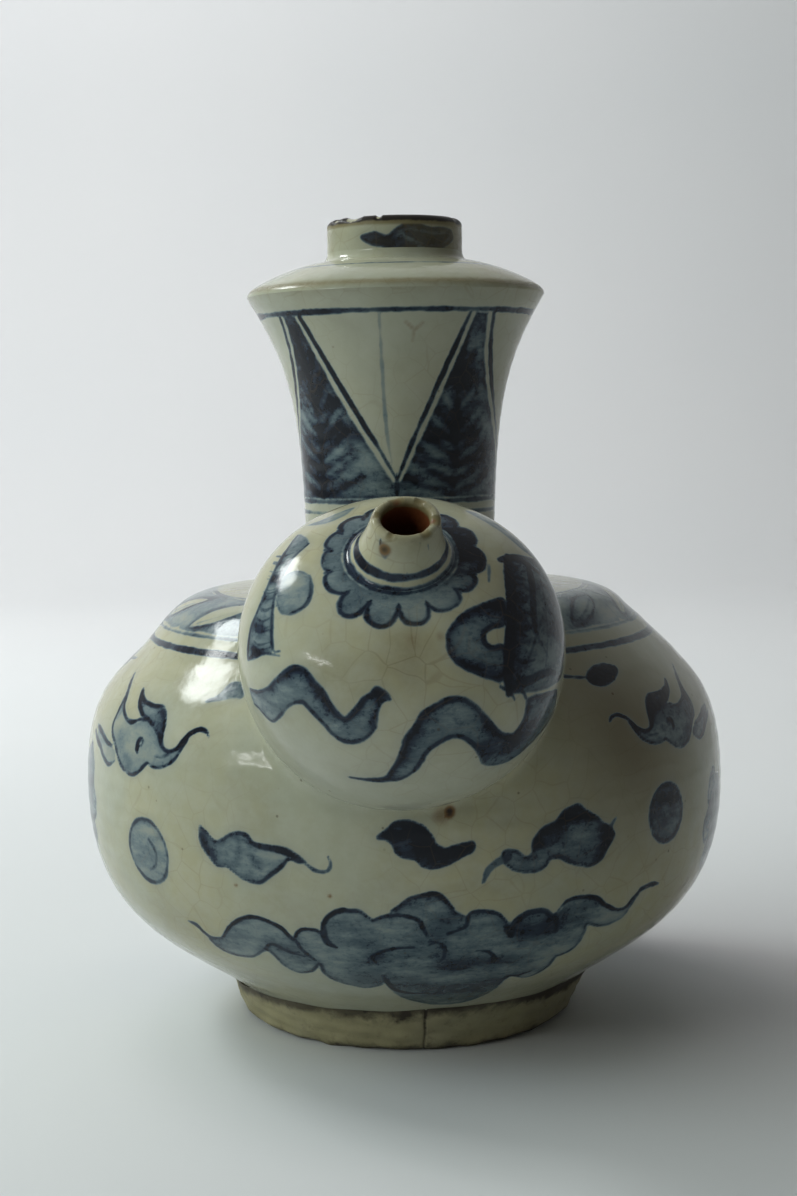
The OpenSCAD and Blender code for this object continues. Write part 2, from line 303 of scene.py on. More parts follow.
class Cobalt:
    """Painting on one surface, kept at each grid point.

    line is the distance to the edge of the nearest brush line and wash to that of the nearest filled
    area, both below zero inside. ink and tone are how strong the two are there. rust is iron spotting.
    Distances past farthest aren't told apart.
    """

    farthest = 9.0

    def __init__(self, shape):
        self.shape = shape
        self.line = np.full(shape, self.farthest).ravel()
        self.wash = np.full(shape, self.farthest).ravel()
        self.ink = np.zeros(self.line.size)
        self.tone = np.zeros(self.line.size)
        self.rust = np.zeros(self.line.size)

    def near(self, place, path, margin=4.0):
        """The grid points close to a path, with their places, distances to it and shares along it."""
        place = place.reshape(-1, 2)
        inside = (place > path.min(0) - margin) & (place < path.max(0) + margin)
        chosen = np.flatnonzero(inside.all(1))
        spot = place[chosen]
        step = np.diff(path, axis=0)
        offset = spot[:, None] - path[:-1]
        share = np.clip((offset * step).sum(-1) / np.maximum((step**2).sum(-1), 1e-9), 0, 1)
        gap = np.linalg.norm(offset - share[..., None] * step, axis=-1)
        nearest = gap.argmin(1)
        row = np.arange(len(spot))
        return chosen, spot, gap[row, nearest], (nearest + share[row, nearest]) / len(step)

    def stroke(self, place, points, width, ink, ends=(0.55, 0.4), closed=False):
        """A brush line of that full width, which starts and ends at the given shares of it."""
        path = brush_path(points, closed)
        chosen, _, gap, along = self.near(place, path)
        start = np.interp(along, [0, 0.22], [ends[0], 1])
        stop = np.interp(along, [0.72, 1], [1, ends[1]])
        edge = gap - width / 2 * (1 if closed else start * stop)
        self.ink[chosen] = np.where(edge < self.line[chosen], ink, self.ink[chosen])
        self.line[chosen] = np.minimum(edge, self.line[chosen])

    def edge_of(self, place, path):
        """The grid points close to a closed path and their distances to it, below zero inside."""
        chosen, spot, gap, _ = self.near(place, path)
        low, high = path[:-1], path[1:]
        across = (low[:, 1] > spot[:, 1:]) != (high[:, 1] > spot[:, 1:])
        slope = (high[:, 0] - low[:, 0]) / np.where(high[:, 1] == low[:, 1], 1e-9, high[:, 1] - low[:, 1])
        crossed = across & (spot[:, :1] < low[:, 0] + slope * (spot[:, 1:] - low[:, 1]))
        return chosen, np.where(crossed.sum(1) % 2 == 1, -gap, gap)

    def pool(self, place, outline, tone):
        """A wash that fills a closed outline. Where washes overlap the stronger shows."""
        chosen, edge = self.edge_of(place, brush_path(outline, True))
        old = self.wash[chosen]
        known = self.tone[chosen]
        nearer = np.where(edge < old, tone, known)
        self.tone[chosen] = np.where((edge < 0) & (old < 0), np.maximum(known, tone), nearer)
        self.wash[chosen] = np.minimum(edge, old)

    def deepen(self, place, points, reach, amount):
        """More colour in the wash near a path, fading away over that reach."""
        chosen, _, gap, _ = self.near(place, brush_path(points), 2 * reach)
        self.tone[chosen] = self.tone[chosen] + amount * np.exp(-((gap / reach) ** 2))

    def spot(self, place, across, above, radius, strength=1.0):
        """A burnt iron spot, fading outwards."""
        gap = np.hypot(*(place.reshape(-1, 2) - (across, above)).T)
        self.rust = np.maximum(self.rust, strength * np.exp(-((gap / radius) ** 2)))

    def layers(self, rows):
        """The painting as mesh layers on a grid with that many rows, bare past the painted ones."""
        bare = {"line": self.farthest, "wash": self.farthest, "ink": 0.0, "tone": 0.0, "rust": 0.0}
        room = ((0, rows - self.shape[0]), (0, 0))
        made = {}
        for name, value in bare.items():
            kept = np.clip(getattr(self, name), -self.farthest, self.farthest).reshape(self.shape)
            made[name] = np.pad(kept, room, constant_values=value)
        return made


def unrolled(angles, radius, run):
    """A chart of a turned surface: chart(turn, height) is how far right of and above it each point is."""

    def chart(turn_to, height):
        apart = (angles - math.radians(turn_to) + np.pi) % (2 * np.pi) - np.pi
        return np.stack([apart * radius[:, None], (run[:, None] - height) + 0 * apart], -1)

    return chart


def outlined(art, place, points, width, ink, tone):
    """A closed shape filled with wash and gone round with a line."""
    art.pool(place, points, tone)
    art.stroke(place, points, width, ink, closed=True)


def small_cloud(art, place):
    """A flying cloud with two rolled heads and a hooked tail."""
    above = [
        (-14.5, 5.5), (-12.5, 4), (-10.5, 2.5), (-8.5, 3), (-6, 4.5), (-4, 5), (-2, 4.5),
        (-0.5, 3), (1, 2.5), (5, 2.5), (8, 2), (10, 1), (12, -0.5),
    ]
    below = [
        (-15, 3.5), (-14, 0.5), (-12, -1.5), (-10, -3), (-7.5, -3), (-6, -4), (-3.5, -5.5),
        (-0.5, -6), (1.5, -5.5), (4, -3.5), (6, -2), (8, 0), (10.5, -0.5), (12, -0.5),
    ]
    tail = [(11, -0.2), (13.5, -2), (15.5, -2.5), (17, -2), (17.5, -0.5), (17, 1)]
    back = [(-0.5, 3), (2, 2.4), (5, 2.1), (8, 1.4), (10.5, 0)]
    shadows = [
        [(-4.5, 4), (-3.8, 1.5), (-4.8, -1.5)],
        [(-1, 3), (-1.4, 1), (0.5, -2)],
        [(-14, 4), (-13, 1), (-11, -1)],
    ]
    art.pool(place, above + below[::-1], 0.42)
    art.stroke(place, above, 0.9, 0.95)
    art.stroke(place, below, 0.8, 0.85)
    art.stroke(place, back, 1.5, 0.95)
    art.stroke(place, tail, 0.8, 0.75)
    for shadow in shadows:
        art.deepen(place, shadow, 1.1, 0.3)


def dark_cloud(art, place):
    """A small cloud laid on in one load of colour, nearly black."""
    shape = [
        (-11.5, 2), (-9.5, 3.5), (-8, 5), (-5.5, 5.5), (-3.5, 5), (-1.5, 4), (0, 2), (1, 0),
        (3, -1), (5, -0.5), (7.5, 0), (9, 0), (9, -1.5), (7, -2.5), (5, -3.5), (3, -4.5),
        (0.5, -5), (-2, -4.5), (-3.5, -3), (-6, -2.5), (-7.5, -1.5), (-8.5, 0.5), (-10, 1.5),
    ]
    middle = [(-10, 2.5), (-6, 3), (-3, 2), (-1, 0), (2, -2), (6, -1.2), (9, -0.8)]
    outlined(art, place, shape, 0.7, 0.95, 0.68)
    art.deepen(place, middle, 2.3, 0.7)


def rolling_cloud(art, place):
    """A flying cloud with three heads, darkest along its back, and a long tapering tail."""
    shape = [
        (-15, -1), (-12.5, -1), (-10, -2.5), (-8.5, -2), (-8, 1), (-5.5, 3.5), (-2.5, 4.5),
        (-0.5, 6.5), (2.5, 7.5), (3.5, 7.5), (5.5, 6), (8, 4.5), (10.5, 2.5), (12, 2), (13, 0.5),
        (13, -1), (11, -3.5), (9.5, -5.5), (6.5, -6.5), (4, -6), (1, -5), (-1.5, -3.5), (-4, -3.5),
        (-5, -5), (-7, -6), (-10, -6), (-13, -5), (-15, -3),
    ]
    back = [(-7.5, 0), (-5.5, 2.5), (-2.5, 3.8), (0, 5.2), (3, 5.8), (6, 4.5), (9, 2.5), (12, 0.5)]
    outlined(art, place, shape, 0.8, 0.75, 0.55)
    art.deepen(place, back, 2.2, 0.6)
    art.deepen(place, [(11.5, 0), (11, -2.5), (8.5, -5)], 1.8, 0.4)
    art.stroke(place, [(12, 1), (13, 2.6), (14, 3.4)], 1.0, 0.9)
    art.stroke(place, [(-14, -2.2), (-17, -3.5), (-18.5, -5), (-19.5, -7.5)], 1.8, 0.65, (1, 0.4))


def disc(art, place, radius, tone=0.36):
    """A round pearl with a dark rim and a heavier wash at one side."""
    turn_round = np.linspace(0, 2 * np.pi, 10, endpoint=False)
    ring = np.stack([radius * np.cos(turn_round), radius * np.sin(turn_round)], -1)
    outlined(art, place, ring, 0.8, 0.55 + 0.5 * tone, tone)
    art.deepen(place, ring[[2, 3, 4]] * 0.6, 0.6 * radius, 1.5 * tone - 0.5)
    art.stroke(place, ring[[6, 7, 8, 9, 0]], 1.2, 0.8)
    if tone < 0.5:
        art.stroke(place, [(1, 3), (3.4, 0.5), (2.6, -3), (0, -4.5)], 0.9, 0.55)


def tall_cloud(art, place):
    """An upright cloud of three rolled heads, one over the other."""
    shape = [
        (-1, -13), (3, -11.5), (6, -8.5), (5.5, -5), (8.5, -3), (9.5, 1), (7, 4.5), (7.5, 8),
        (5, 11.5), (1.5, 13.5), (-1, 11), (-4.5, 10.5), (-6, 7), (-5, 4), (-8.5, 2.5),
        (-9.5, -1.5), (-7, -4.5), (-7.5, -8.5), (-5, -11.5),
    ]
    curls = [
        [(5.5, -5), (2.5, -4.5), (0, -6.5), (1, -9)],
        [(7, 4.5), (3.5, 4), (1.5, 1.5), (3, -0.5)],
        [(-5, 4), (-2, 4.5), (-1, 7)],
    ]
    outlined(art, place, shape, 0.9, 0.85, 0.42)
    for curl in curls:
        art.stroke(place, curl, 0.8, 0.7)
        art.deepen(place, curl, 2.0, 0.3)


# A chart times this runs from right to left, so that what is painted on it is mirrored.
mirrored = np.array([-1, 1])


def belly_painting(art, chart):
    """The small clouds and pearls that fly along the belly line, all round the pot."""
    small_cloud(art, chart(-24, -4.5))
    dark_cloud(art, chart(4, -1))
    rolling_cloud(art, chart(26, -2.5))
    disc(art, chart(-47.5, -7.5), 7.6)
    disc(art, chart(48.5, -0.7), 6.8, 0.6)
    tall_cloud(art, chart(-75, -1))
    tall_cloud(art, chart(70, -8.5) * mirrored)
    small_cloud(art, chart(91, -5) * mirrored)
    disc(art, chart(-112, -5), 7)
    disc(art, chart(110, -3), 7)
    dark_cloud(art, chart(136, -2) * mirrored)
    dark_cloud(art, chart(-140, -3))
    small_cloud(art, chart(-163, -4))
    rolling_cloud(art, chart(168, -2))
    art.spot(chart(6.8, 5.8), 0, 0, 1.3)
    art.spot(chart(5.6, 5.2), 0, 0, 2.8, 0.42)


def cloud_bank(art, place):
    """A bank of cloud over the foot: a row of rolled heads, with a tail trailing out on either side."""
    tail = [(-58.5, 1.5), (-56, 1), (-53.5, -1.5), (-51.5, -2.5), (-48.5, -2)]
    heads = [
        [
            (-48.5, -2), (-46, 2), (-43.5, 4.5), (-40.5, 6), (-37.5, 6), (-34.5, 5), (-32, 3.5),
            (-30, 1), (-29, 0.5),
        ],
        [(-29.5, 0.5), (-28.5, 3), (-27, 4), (-24.5, 4), (-22.5, 3)],
        [
            (-22.5, 2), (-22.5, 5.5), (-21, 8), (-18.5, 9.5), (-16.5, 9.5), (-14.5, 9.5),
            (-12.5, 8), (-11.5, 7),
        ],
        [(-11.5, 7), (-9.5, 8), (-6.5, 8.5), (-4, 8), (-1.5, 7), (-0.5, 5), (0.5, 2.5)],
        [(-7.5, 9.5), (-5.5, 11), (-3.5, 12.5), (-1, 13), (1.5, 13.5), (3, 13), (4.5, 11.5), (6, 9.5)],
        [(5, 3), (7.5, 4), (9, 5), (9.5, 7.5), (10.5, 8.5), (13, 8.5), (16, 7.5), (18, 5.5), (19, 3.5)],
        [(19.5, 1), (19.5, 4), (21.5, 6), (23.5, 7), (27, 7), (29, 5.5), (30.5, 3.5), (30.5, 0.5)],
        [
            (30, 5.5), (32, 8), (34, 9), (37.5, 9), (41, 8), (44, 5.5), (47.5, 3.5), (50.5, 3.5),
            (52.5, 5.5), (55, 7.5),
        ],
    ]
    end = [(55, 7.5), (58.5, 8), (62, 7.5)]
    right = [
        (55, 7), (52.5, 4), (50.5, 1), (47, -0.5), (43, -0.5), (39, 1), (38.5, -1), (37.5, -4.5),
        (35.5, -7.5), (33, -9), (31.5, -9.5), (30, -14), (27.5, -17.5), (24.5, -19), (20.5, -16.5),
        (18.5, -22), (16, -28),
    ]
    left = [
        (-52.5, -3), (-50.5, -5.5), (-47.5, -7.5), (-44, -8), (-40.5, -7.5), (-37.5, -4.5),
        (-36, -4), (-34.5, -5.5), (-33, -8.5), (-30.5, -11.5), (-28, -12.5), (-25.5, -11),
        (-23.5, -7.5), (-22.5, -11.5), (-20, -15.5), (-16.5, -18), (-13, -19.5), (-10, -18),
        (-8.5, -16),
    ]
    foot = [(-7, -21), (-5, -25.5), (-2, -29.5), (4, -33.5), (11, -33), (16, -28)]
    middle = [
        (-22, 5), (-17, 8), (-8, 7), (-1, 11), (4, 10), (6, 2), (0, -6), (-9, -8), (-16, -5), (-20, -2),
    ]
    top = heads[0] + heads[1][1:] + heads[2][1:] + heads[3][1:3]
    top = top + heads[4] + heads[5][3:] + heads[6][1:] + heads[7][1:]
    art.pool(place, top + right[:-1] + foot[::-1] + left[::-1], 0.46)
    art.pool(place, middle, 0.5)
    art.pool(place, [(27, 3), (30.5, 6), (33, 7), (34, 2), (30, -3)], 0.44)
    art.stroke(place, tail, 1.0, 0.8, (0.3, 0.9))
    art.stroke(place, end, 1.2, 0.8, (1, 0.3))
    art.stroke(place, right, 0.85, 0.7)
    art.stroke(place, left, 0.85, 0.72)
    hook = [(-9.2, -11.5), (-7.8, -16.3), (-5.7, -21.1), (-2.4, -23.3), (1.5, -23.4)]
    art.stroke(place, hook, 1.3, 0.95)
    for head, width in zip(heads, (1.0, 0.9, 1.2, 1.1, 1.1, 1.1, 1.8, 1.1)):
        art.stroke(place, head, width, 1.05, (0.7, 0.6))
    art.stroke(place, [(-22.3, 5), (-22.3, 2.5), (-21.5, 0.5), (-19.5, -1)], 1.6, 0.9)
    art.stroke(place, [(18.3, 4), (19.2, 2.5), (20.2, 3.5)], 2.4, 0.95)
    curls = [
        [(-2.4, -0.7), (-6.2, -0.9), (-9.6, -2.1), (-11.5, -4.1), (-10.3, -6.8)],
        [(0.6, -0.3), (2.5, 0.5), (4.3, -1), (4.2, -4.6), (2.8, -7.2)],
        [(11.5, -2.9), (14.3, -3.6), (15.9, -6.1), (15.1, -8.8)],
        [(5, -9.2), (7.5, -9.9), (10.5, -9.2)],
        [(19.5, -16), (22.5, -16.5), (26, -15)],
        [(-37, -3.5), (-35, -1.5), (-31, -3.5), (-27, -5)],
        [(-29, 0.5), (-27.5, -2.5), (-24.5, -6)],
    ]
    for curl in curls:
        art.stroke(place, curl, 0.9, 0.9)
        art.deepen(place, curl, 2.0, 0.14)
    sweeps = [
        [(-15, -7), (-3, -5), (9, -7), (22, -9)],
        [(-6, -17), (5, -19), (17, -17)],
        [(2, -24), (7, -25), (12, -24)],
        [(22, 3), (26, 4.5), (29, 2)],
        [(20, 1), (27, 0), (33, 4), (40, 4)],
    ]
    for brushed in sweeps:
        art.deepen(place, brushed, 3.4, 0.13)
    art.deepen(place, heads[4], 3.0, 0.25)


def right_side_shade(a, z):
    """Painted shade, darker and browner: a patch on the right, a bell of angle and of height."""
    return np.exp(-(((a - 0.74) / 0.3) ** 2) - ((z - 80) / 26) ** 2)


low_corner, body_widest = corners("lower_body")
floor_z = low_corner[2]
belly_r = body_widest[0]
belly_z = body_widest[2]
body_wall = 5.0
foot_slope = math.radians(38.7)
bowl_rise = belly_z - floor_z
bowl_foot = np.array([foot_top[0], floor_z])
bowl_pull = 0.431 * bowl_rise * np.array([math.cos(foot_slope), math.sin(foot_slope)])
bowl_upright = (belly_r, belly_z - 0.647 * bowl_rise)
bowl = cubic([bowl_foot, bowl_foot + bowl_pull, bowl_upright, (belly_r, belly_z)], 400)
bowl_length = length_along(bowl)[-1]
bowl = even(bowl, 130)
bowl_in = inset(even(bowl, 16), body_wall)[::-1]
bowl_in = bowl_in[bowl_in[:, 1] > floor_z + body_wall + 1]
bowl_floor = np.array([[30, floor_z + body_wall], [0, floor_z + body_wall]])
bowl_profile = np.concatenate([bowl, [[belly_r - body_wall, belly_z]], bowl_in[1:], bowl_floor])
bowl_under = np.array([[0, floor_z], [20, floor_z], [40, floor_z]])
body_angles = angles_round(620, 0.32)
bowl_grid = np.concatenate([turn(bowl_profile, body_angles), turn(bowl_under, body_angles)])
bowl_grid = np.roll(bowl_grid, len(bowl_under), 0)
bowl_art = Cobalt((len(bowl_under) + len(bowl), len(body_angles)))
# On the chart the underside lies far below, where nothing is painted.
bowl_run = np.append([-200.0] * len(bowl_under), np.linspace(-bowl_length, 0, len(bowl)))
bowl_chart = unrolled(body_angles, np.append(bowl_under[:, 0], bowl[:, 0]), bowl_run)
belly_painting(bowl_art, bowl_chart)
for bank_turn in (3, 123, -117):
    cloud_bank(bowl_art, bowl_chart(bank_turn, -25.5))
for spot_turn, spot_run in ((-28, -11.7), (-12, -12.6)):
    bowl_art.spot(bowl_chart(spot_turn, spot_run), 0, 0, 0.7, 0.6)
bowl_layers = bowl_art.layers(len(bowl_grid))
bowl_thick = np.clip((-32 - bowl_run) / 26, 0, 1)
bowl_layers["thick"] = np.pad(bowl_thick, (0, len(bowl_grid) - len(bowl_run)))[:, None]
# Painted shade on the right of the bowl.
bowl_layers["right_side_shade"] = right_side_shade(body_angles, bowl_grid[..., 2])
bowl_piece = lay("lower_body_ware", bowl_grid, bowl_layers, poles=True)


def cobalt_over(here, base, fine):
    """The glaze's colour with the painting over it, in four blues by depth, and then the iron spots.

    Fine noise makes the edges shiver, streaks and pools the wash, and heaps the darkest cobalt.
    """
    bleed = here.layer("wash").rise(3.0, 0) * 0.22
    base = bleed.mix(base, colour(132, 141, 137))
    shiver = here.grain(420, 3, 0.6)
    load = here.grain(60, 4, 0.6).rise(0.3, 0.68)
    edge = here.layer("line") + (shiver - 0.5) * 0.55 + (0.5 - load) * 0.3
    ink = edge.rise(0.3, -0.4) * here.layer("ink") * (0.66 + load * 0.44)
    rim = here.layer("wash") + (shiver - 0.5) * 0.6 + (fine - 0.5) * 1.1
    squeeze = {0: here, 1: (1.0, 1.0, 2.4)}
    brushed = here.node("ShaderNodeVectorMath", {"operation": "MULTIPLY"}, squeeze)
    streaky = brushed.grain(62, 6, 0.68).rise(0.3, 0.7)
    pooled = 0.5 + streaky * 0.78 + rim.rise(-1.8, -0.2) * 0.2
    wash = rim.rise(0.4, -0.5) * here.layer("tone") * pooled
    depth = 1 - (1 - ink) * (1 - wash)
    heaped = here.grain(650, 3, 0.7).rise(0.52, 0.66)
    depth = depth + heaped * depth * depth * 0.5
    base = depth.rise(0.0, 0.4).mix(base, colour(112, 127, 129))
    base = depth.rise(0.26, 0.62).mix(base, colour(69, 85, 93))
    base = depth.rise(0.55, 0.82).mix(base, colour(34, 45, 60))
    base = depth.rise(0.8, 1.05).mix(base, colour(15, 20, 29))
    rust = here.layer("rust") + (fine - 0.5) * 0.5 * here.layer("rust").rise(0.0, 0.2)
    base = rust.rise(0.15, 0.6).mix(base, colour(112, 84, 50))
    base = rust.rise(0.5, 0.95).mix(base, colour(38, 24, 14))
    return base


def glaze(name, painted=True, stain=colour(118, 110, 80), burnt=colour(62, 54, 38)):
    """Thin greyish glaze over white clay: buff clouding, pits, fine crackle, and cobalt if it is painted.

    The layer thick makes it cooler and the layer of painted shade on the right darker and browner,
    both under the cobalt. The layer of wear and shade takes it to the stain at 1, the burnt colour at 2.
    """
    made, surface, here = material_of(name)
    cloud = here.grain(15, 4, 0.6)
    fine = here.grain(150, 5, 0.65)
    base = cloud.rise(0.38, 0.64).mix(colour(161, 164, 144), colour(167, 164, 133))
    base = (here.grain(38, 4, 0.6).rise(0.48, 0.72) * 0.6).mix(base, colour(138, 136, 110))
    base = (here.layer("thick") * 0.5).mix(base, colour(165, 168, 155))
    base = (fine.rise(0.35, 0.7) * 0.3).mix(base, colour(180, 182, 168))
    # Painted shade: the right side made darker and browner.
    base = (here.layer("right_side_shade") * (0.55 + cloud * 0.9)).mix(base, colour(120, 114, 92))
    if painted:
        base = cobalt_over(here, base, fine)
    drift = {0: here, 1: here.grain(60, 2) * 0.006}
    wander = here.node("ShaderNodeVectorMath", {"operation": "ADD"}, drift)
    cells = {"Vector": wander, "Scale": 150}
    cracks = here.node("ShaderNodeTexVoronoi", {"feature": "DISTANCE_TO_EDGE"}, cells)
    crazed = cloud.rise(0.4, 0.66) * 0.15 + here.layer("wear_and_shade").rise(0.05, 0.6) * 0.2
    base = (cracks.rise(0.03, 0.006) * crazed).mix(base, colour(100, 80, 48))
    pits = here.node("ShaderNodeTexVoronoi", {}, {"Vector": here, "Scale": 230})
    pitted = pits.rise(0.1, 0.05) * here.grain(48, 2).rise(0.52, 0.66) * 0.6
    base = pitted.mix(base, colour(74, 60, 40))
    # The layer holds wear and stain, and on the neck painted shade under the flange.
    wear_and_shade = here.layer("wear_and_shade") * (0.4 + here.grain(130, 5, 0.7) * 1.2)
    base = wear_and_shade.rise(0.1, 1.0).mix(base, stain)
    base = wear_and_shade.rise(1.2, 1.8).mix(base, burnt)
    here.join(base, surface.inputs["Base Color"])
    here.join(0.08 + fine * 0.12 + wear_and_shade.rise(0.2, 1.2) * 0.25, surface.inputs["Roughness"])
    surface.inputs["Specular IOR Level"].default_value = 0.22
    ripple = here.grain(90, 3) + here.grain(600, 2) * 0.12
    skin = {"Height": ripple, "Strength": 0.12, "Distance": 0.002}
    here.join(here.node("ShaderNodeBump", {}, skin), surface.inputs["Normal"])
    return made


painted_glaze = glaze("painted_glaze")
bowl_piece.data.materials.append(painted_glaze)
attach(bowl_piece, "root")
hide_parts("lower_body")


# Belly lute
# A band of soft clay smeared over the joint inside, where the bowl and the dome were stuck with slip.
# It can be seen only through the mouth, and is unglazed.
lute_low, lute_high = corners("belly_lute")
lute_t = np.linspace(0, np.pi, 14)
lute_z = lute_low[2] + (lute_high[2] - lute_low[2]) * (1 + np.cos(lute_t)) / 2
lute_bed = belly_r - body_wall
lute_swell = 1.6
lute_r = lute_bed - lute_swell * np.sin(lute_t)
lute_back = np.array([[lute_bed + 0.4, lute_low[2]], [lute_bed + 0.4, lute_high[2]]])
lute_profile = np.concatenate([lute_back, np.stack([lute_r, lute_z], -1)])
lute_piece = lay("belly_lute_ware", turn(lute_profile, angles_round(180, 0)))
inner_clay, surface, here = material_of("inner_clay")
smear = here.grain(90, 4, 0.6)
here.join(smear.mix(colour(140, 126, 98), colour(176, 164, 138)), surface.inputs["Base Color"])
here.join(0.6 + smear * 0.3, surface.inputs["Roughness"])
lute_piece.data.materials.append(inner_clay)
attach(lute_piece, "root")
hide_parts("belly_lute")


# Upper body
# The dome, thrown upside down as a second bowl, turned over and luted to the first at the belly.
# Flowers are painted on its side, and a band of leaves round the flat top, above a drawn line.
def flower(art, place, weight=1.0):
    """A flying flower with a pale face, two long upturned petals and a hooked tail."""
    long_petal = [
        (-23, 16), (-19, 11), (-18, 7), (-18.5, 3), (-17.5, 0.5), (-14.5, -1.5), (-11.5, -4.5),
        (-8.5, -6.5), (-4.5, -7.5), (-1, -6.5), (1.5, -4.5),
    ]
    long_inner = [(-23, 16), (-19, 12), (-17, 9), (-15, 6.5), (-11, 4.5), (-8, 4.5), (-5, 5.5), (-2, 5.5)]
    curled = [(-11.5, 13), (-10, 10.5), (-8, 8.5), (-4.5, 6.5), (-1, 5.5), (2, 4), (4.5, 2.5)]
    curled_back = [
        (-11.5, 13), (-8, 10.5), (-4, 9.5), (-1, 9.5), (1.5, 9.5), (4, 7.5), (5.5, 5), (6.2, 2),
    ]
    tail = [
        (5, 2.5), (6, 0.5), (9, -0.5), (11.5, 0.5), (13, 2.5), (14, 4), (15.5, 5), (17, 5.5),
        (19, 5), (20, 4),
    ]
    tail_under = [(3.5, -4.5), (6.5, -4.5), (9.5, -3.5), (11.5, -2), (12.5, -0.5), (13.5, 1.5), (14, 3.5)]
    face = long_petal[3:] + [(4, -4.5), (7, -2), (7, 1), (4, 3), (-2, 5.5), (-8, 4.5), (-15, 6)]
    side_petal = [(-31, 0.5), (-25, -0.5), (-16, -2.5), (-13, -5), (-17, -7), (-24.5, -4.5)]
    for outline, tone in (
        (face, 0.28),
        (long_petal[:4] + long_inner[3:0:-1], 0.4),
        (curled_back + curled[:0:-1], 0.45),
        (tail[1:6] + tail_under[::-1], 0.3),
        (side_petal, 0.3),
    ):
        art.pool(place, outline, tone * weight)
    art.deepen(place, curled_back[4:], 1.8, 0.35)
    art.deepen(place, [(-13, 1), (-11, -2), (-6, -5)], 1.6, 0.15)
    for line, width, ink in (
        (long_petal, 1.1, 0.92),
        (long_inner, 1.0, 0.92),
        (curled, 1.0, 0.95),
        (curled_back, 1.0, 0.95),
        ([(4, 3.2), (5.2, 2), (5.8, 0.8)], 1.5, 1.1),
        (tail, 1.2, 1.15),
        (tail_under, 0.9, 1.0),
        ([(4.5, -2), (7, -2), (10, -1)], 0.7, 0.6),
        ([(12.4, 0.5), (13.2, 2), (14, 3.6)], 1.6, 1.0),
        ([(-31, 0.5), (-25, -0.5), (-19.5, -2), (-15.5, -2.5)], 1.5, 0.9),
        ([(-32.5, -1), (-27.5, -3), (-24, -4), (-20.5, -6), (-16.5, -7), (-13, -5.5)], 1.4, 0.9),
        ([(-1.8, 1.3), (-3, 0.6), (-3.2, -1), (-2.4, -2.2)], 1.6, 1.1),
        ([(-1.6, 1.2), (-1, 0.2), (-2, -0.6)], 0.8, 0.7),
        ([(-1, -6.5), (0.5, -5), (2, -4), (3.5, -4.5)], 0.8, 0.85),
    ):
        art.stroke(place, line, width, ink)


def bud(art, place):
    """A dark bud on a short stem."""
    shape = [
        (-7, 0), (-5, 2), (-1.5, 3.5), (2.5, 3.5), (5.5, 2), (3.5, -0.5), (-0.5, -2.5), (-4, -3),
        (-6.5, -2),
    ]
    outlined(art, place, np.array(shape) * 0.88, 0.8, 0.95, 1.1)
    art.stroke(place, [(-6, 0), (-11, 1), (-14, 1.5)], 1.1, 0.9)


def leaf(art, place):
    """A single floating leaf."""
    shape = [(-5, -3), (-2, -1), (-0.5, 2.5), (2.5, 2.5), (4.5, -1), (1.5, -1.5), (-2.5, -2.5)]
    outlined(art, place, shape, 0.7, 0.45, 0.5)


def shoulder_band(art, chart, count, low, high):
    """Leaves that lean to the right, left white on a ring of wash between two lines.

    The one beside the spout, on the right, has been filled in.
    """
    step = 360 / count
    top = high - low
    ground = [(-15, 1), (0, 1), (15, 1), (15, 8), (15, top), (0, top), (-15, top), (-15, 8)]
    reserve = [(-8, 2), (-1, 3), (6, 7), (9.5, 12), (3, 11.5), (-3, 8)]
    for number in range(count):
        place = chart(number * step, low)
        art.pool(place, np.array(ground) * (step / 30, 1), 0.4)
        if number != 2:
            chosen, edge = art.edge_of(place, brush_path(reserve, True))
            art.wash[chosen] = np.maximum(art.wash[chosen], -edge)
        art.deepen(place, [*reserve, reserve[0]], 1.6, 0.25)
        art.stroke(place, reserve, 0.8, 0.75, closed=True)
        art.stroke(place, [(-7, 2.5), (0, 5.5), (6, 9)], 0.7, 0.35)


dome_top = corners("upper_body")[1][2]
shoulder_r = 63.1
shoulder_z = 97.4
shoulder_slope = math.radians(52)
neck_hole = 19.3
neck_root = corners("neck_lute")[1][0]
side_rise = shoulder_z - belly_z
side_pull = 0.327 * side_rise * np.array([math.cos(shoulder_slope), -math.sin(shoulder_slope)])
shoulder = np.array([shoulder_r, shoulder_z])
side_upright = (belly_r, belly_z + 0.71 * side_rise)
side = cubic([(belly_r, belly_z), side_upright, shoulder + side_pull, shoulder], 400)
flat_in = shoulder_r - (dome_top - shoulder_z) / math.tan(shoulder_slope)
flat_end = neck_root + 0.65 * (shoulder_r - neck_root)
flat = cubic([shoulder, (flat_in, dome_top), (flat_end, dome_top), (neck_root, dome_top)], 400)
dome_fine = np.concatenate([side, flat[1:]])
dome_length = length_along(dome_fine)[-1]
dome = even(dome_fine, 140)
dome_in = inset(even(dome_fine, 16), body_wall)[::-1]
dome_hole = np.array([[neck_hole, dome_top], [neck_hole, dome_top - body_wall]])
dome_profile = np.concatenate([dome, dome_hole, dome_in, [[belly_r - body_wall, belly_z]]])
dome_art = Cobalt((len(dome), len(body_angles)))
dome_chart = unrolled(body_angles, dome[:, 0], np.linspace(0, dome_length, len(dome)))
belly_painting(dome_art, dome_chart)
flower(dome_art, dome_chart(-49, 17))
flower(dome_art, dome_chart(51.5, 19.3) * (-1.06, 1.22), 2.0)
flower(dome_art, dome_chart(-134, 17))
flower(dome_art, dome_chart(134, 17) * mirrored)
bud(dome_art, dome_chart(42.5, 34.5))
leaf(dome_art, dome_chart(-34, 32.5))
bud(dome_art, dome_chart(-88, 35) * mirrored)
bud(dome_art, dome_chart(98, 32))
leaf(dome_art, dome_chart(178, 31))
shoulder_band(dome_art, dome_chart, 14, 47.0, 62.0)
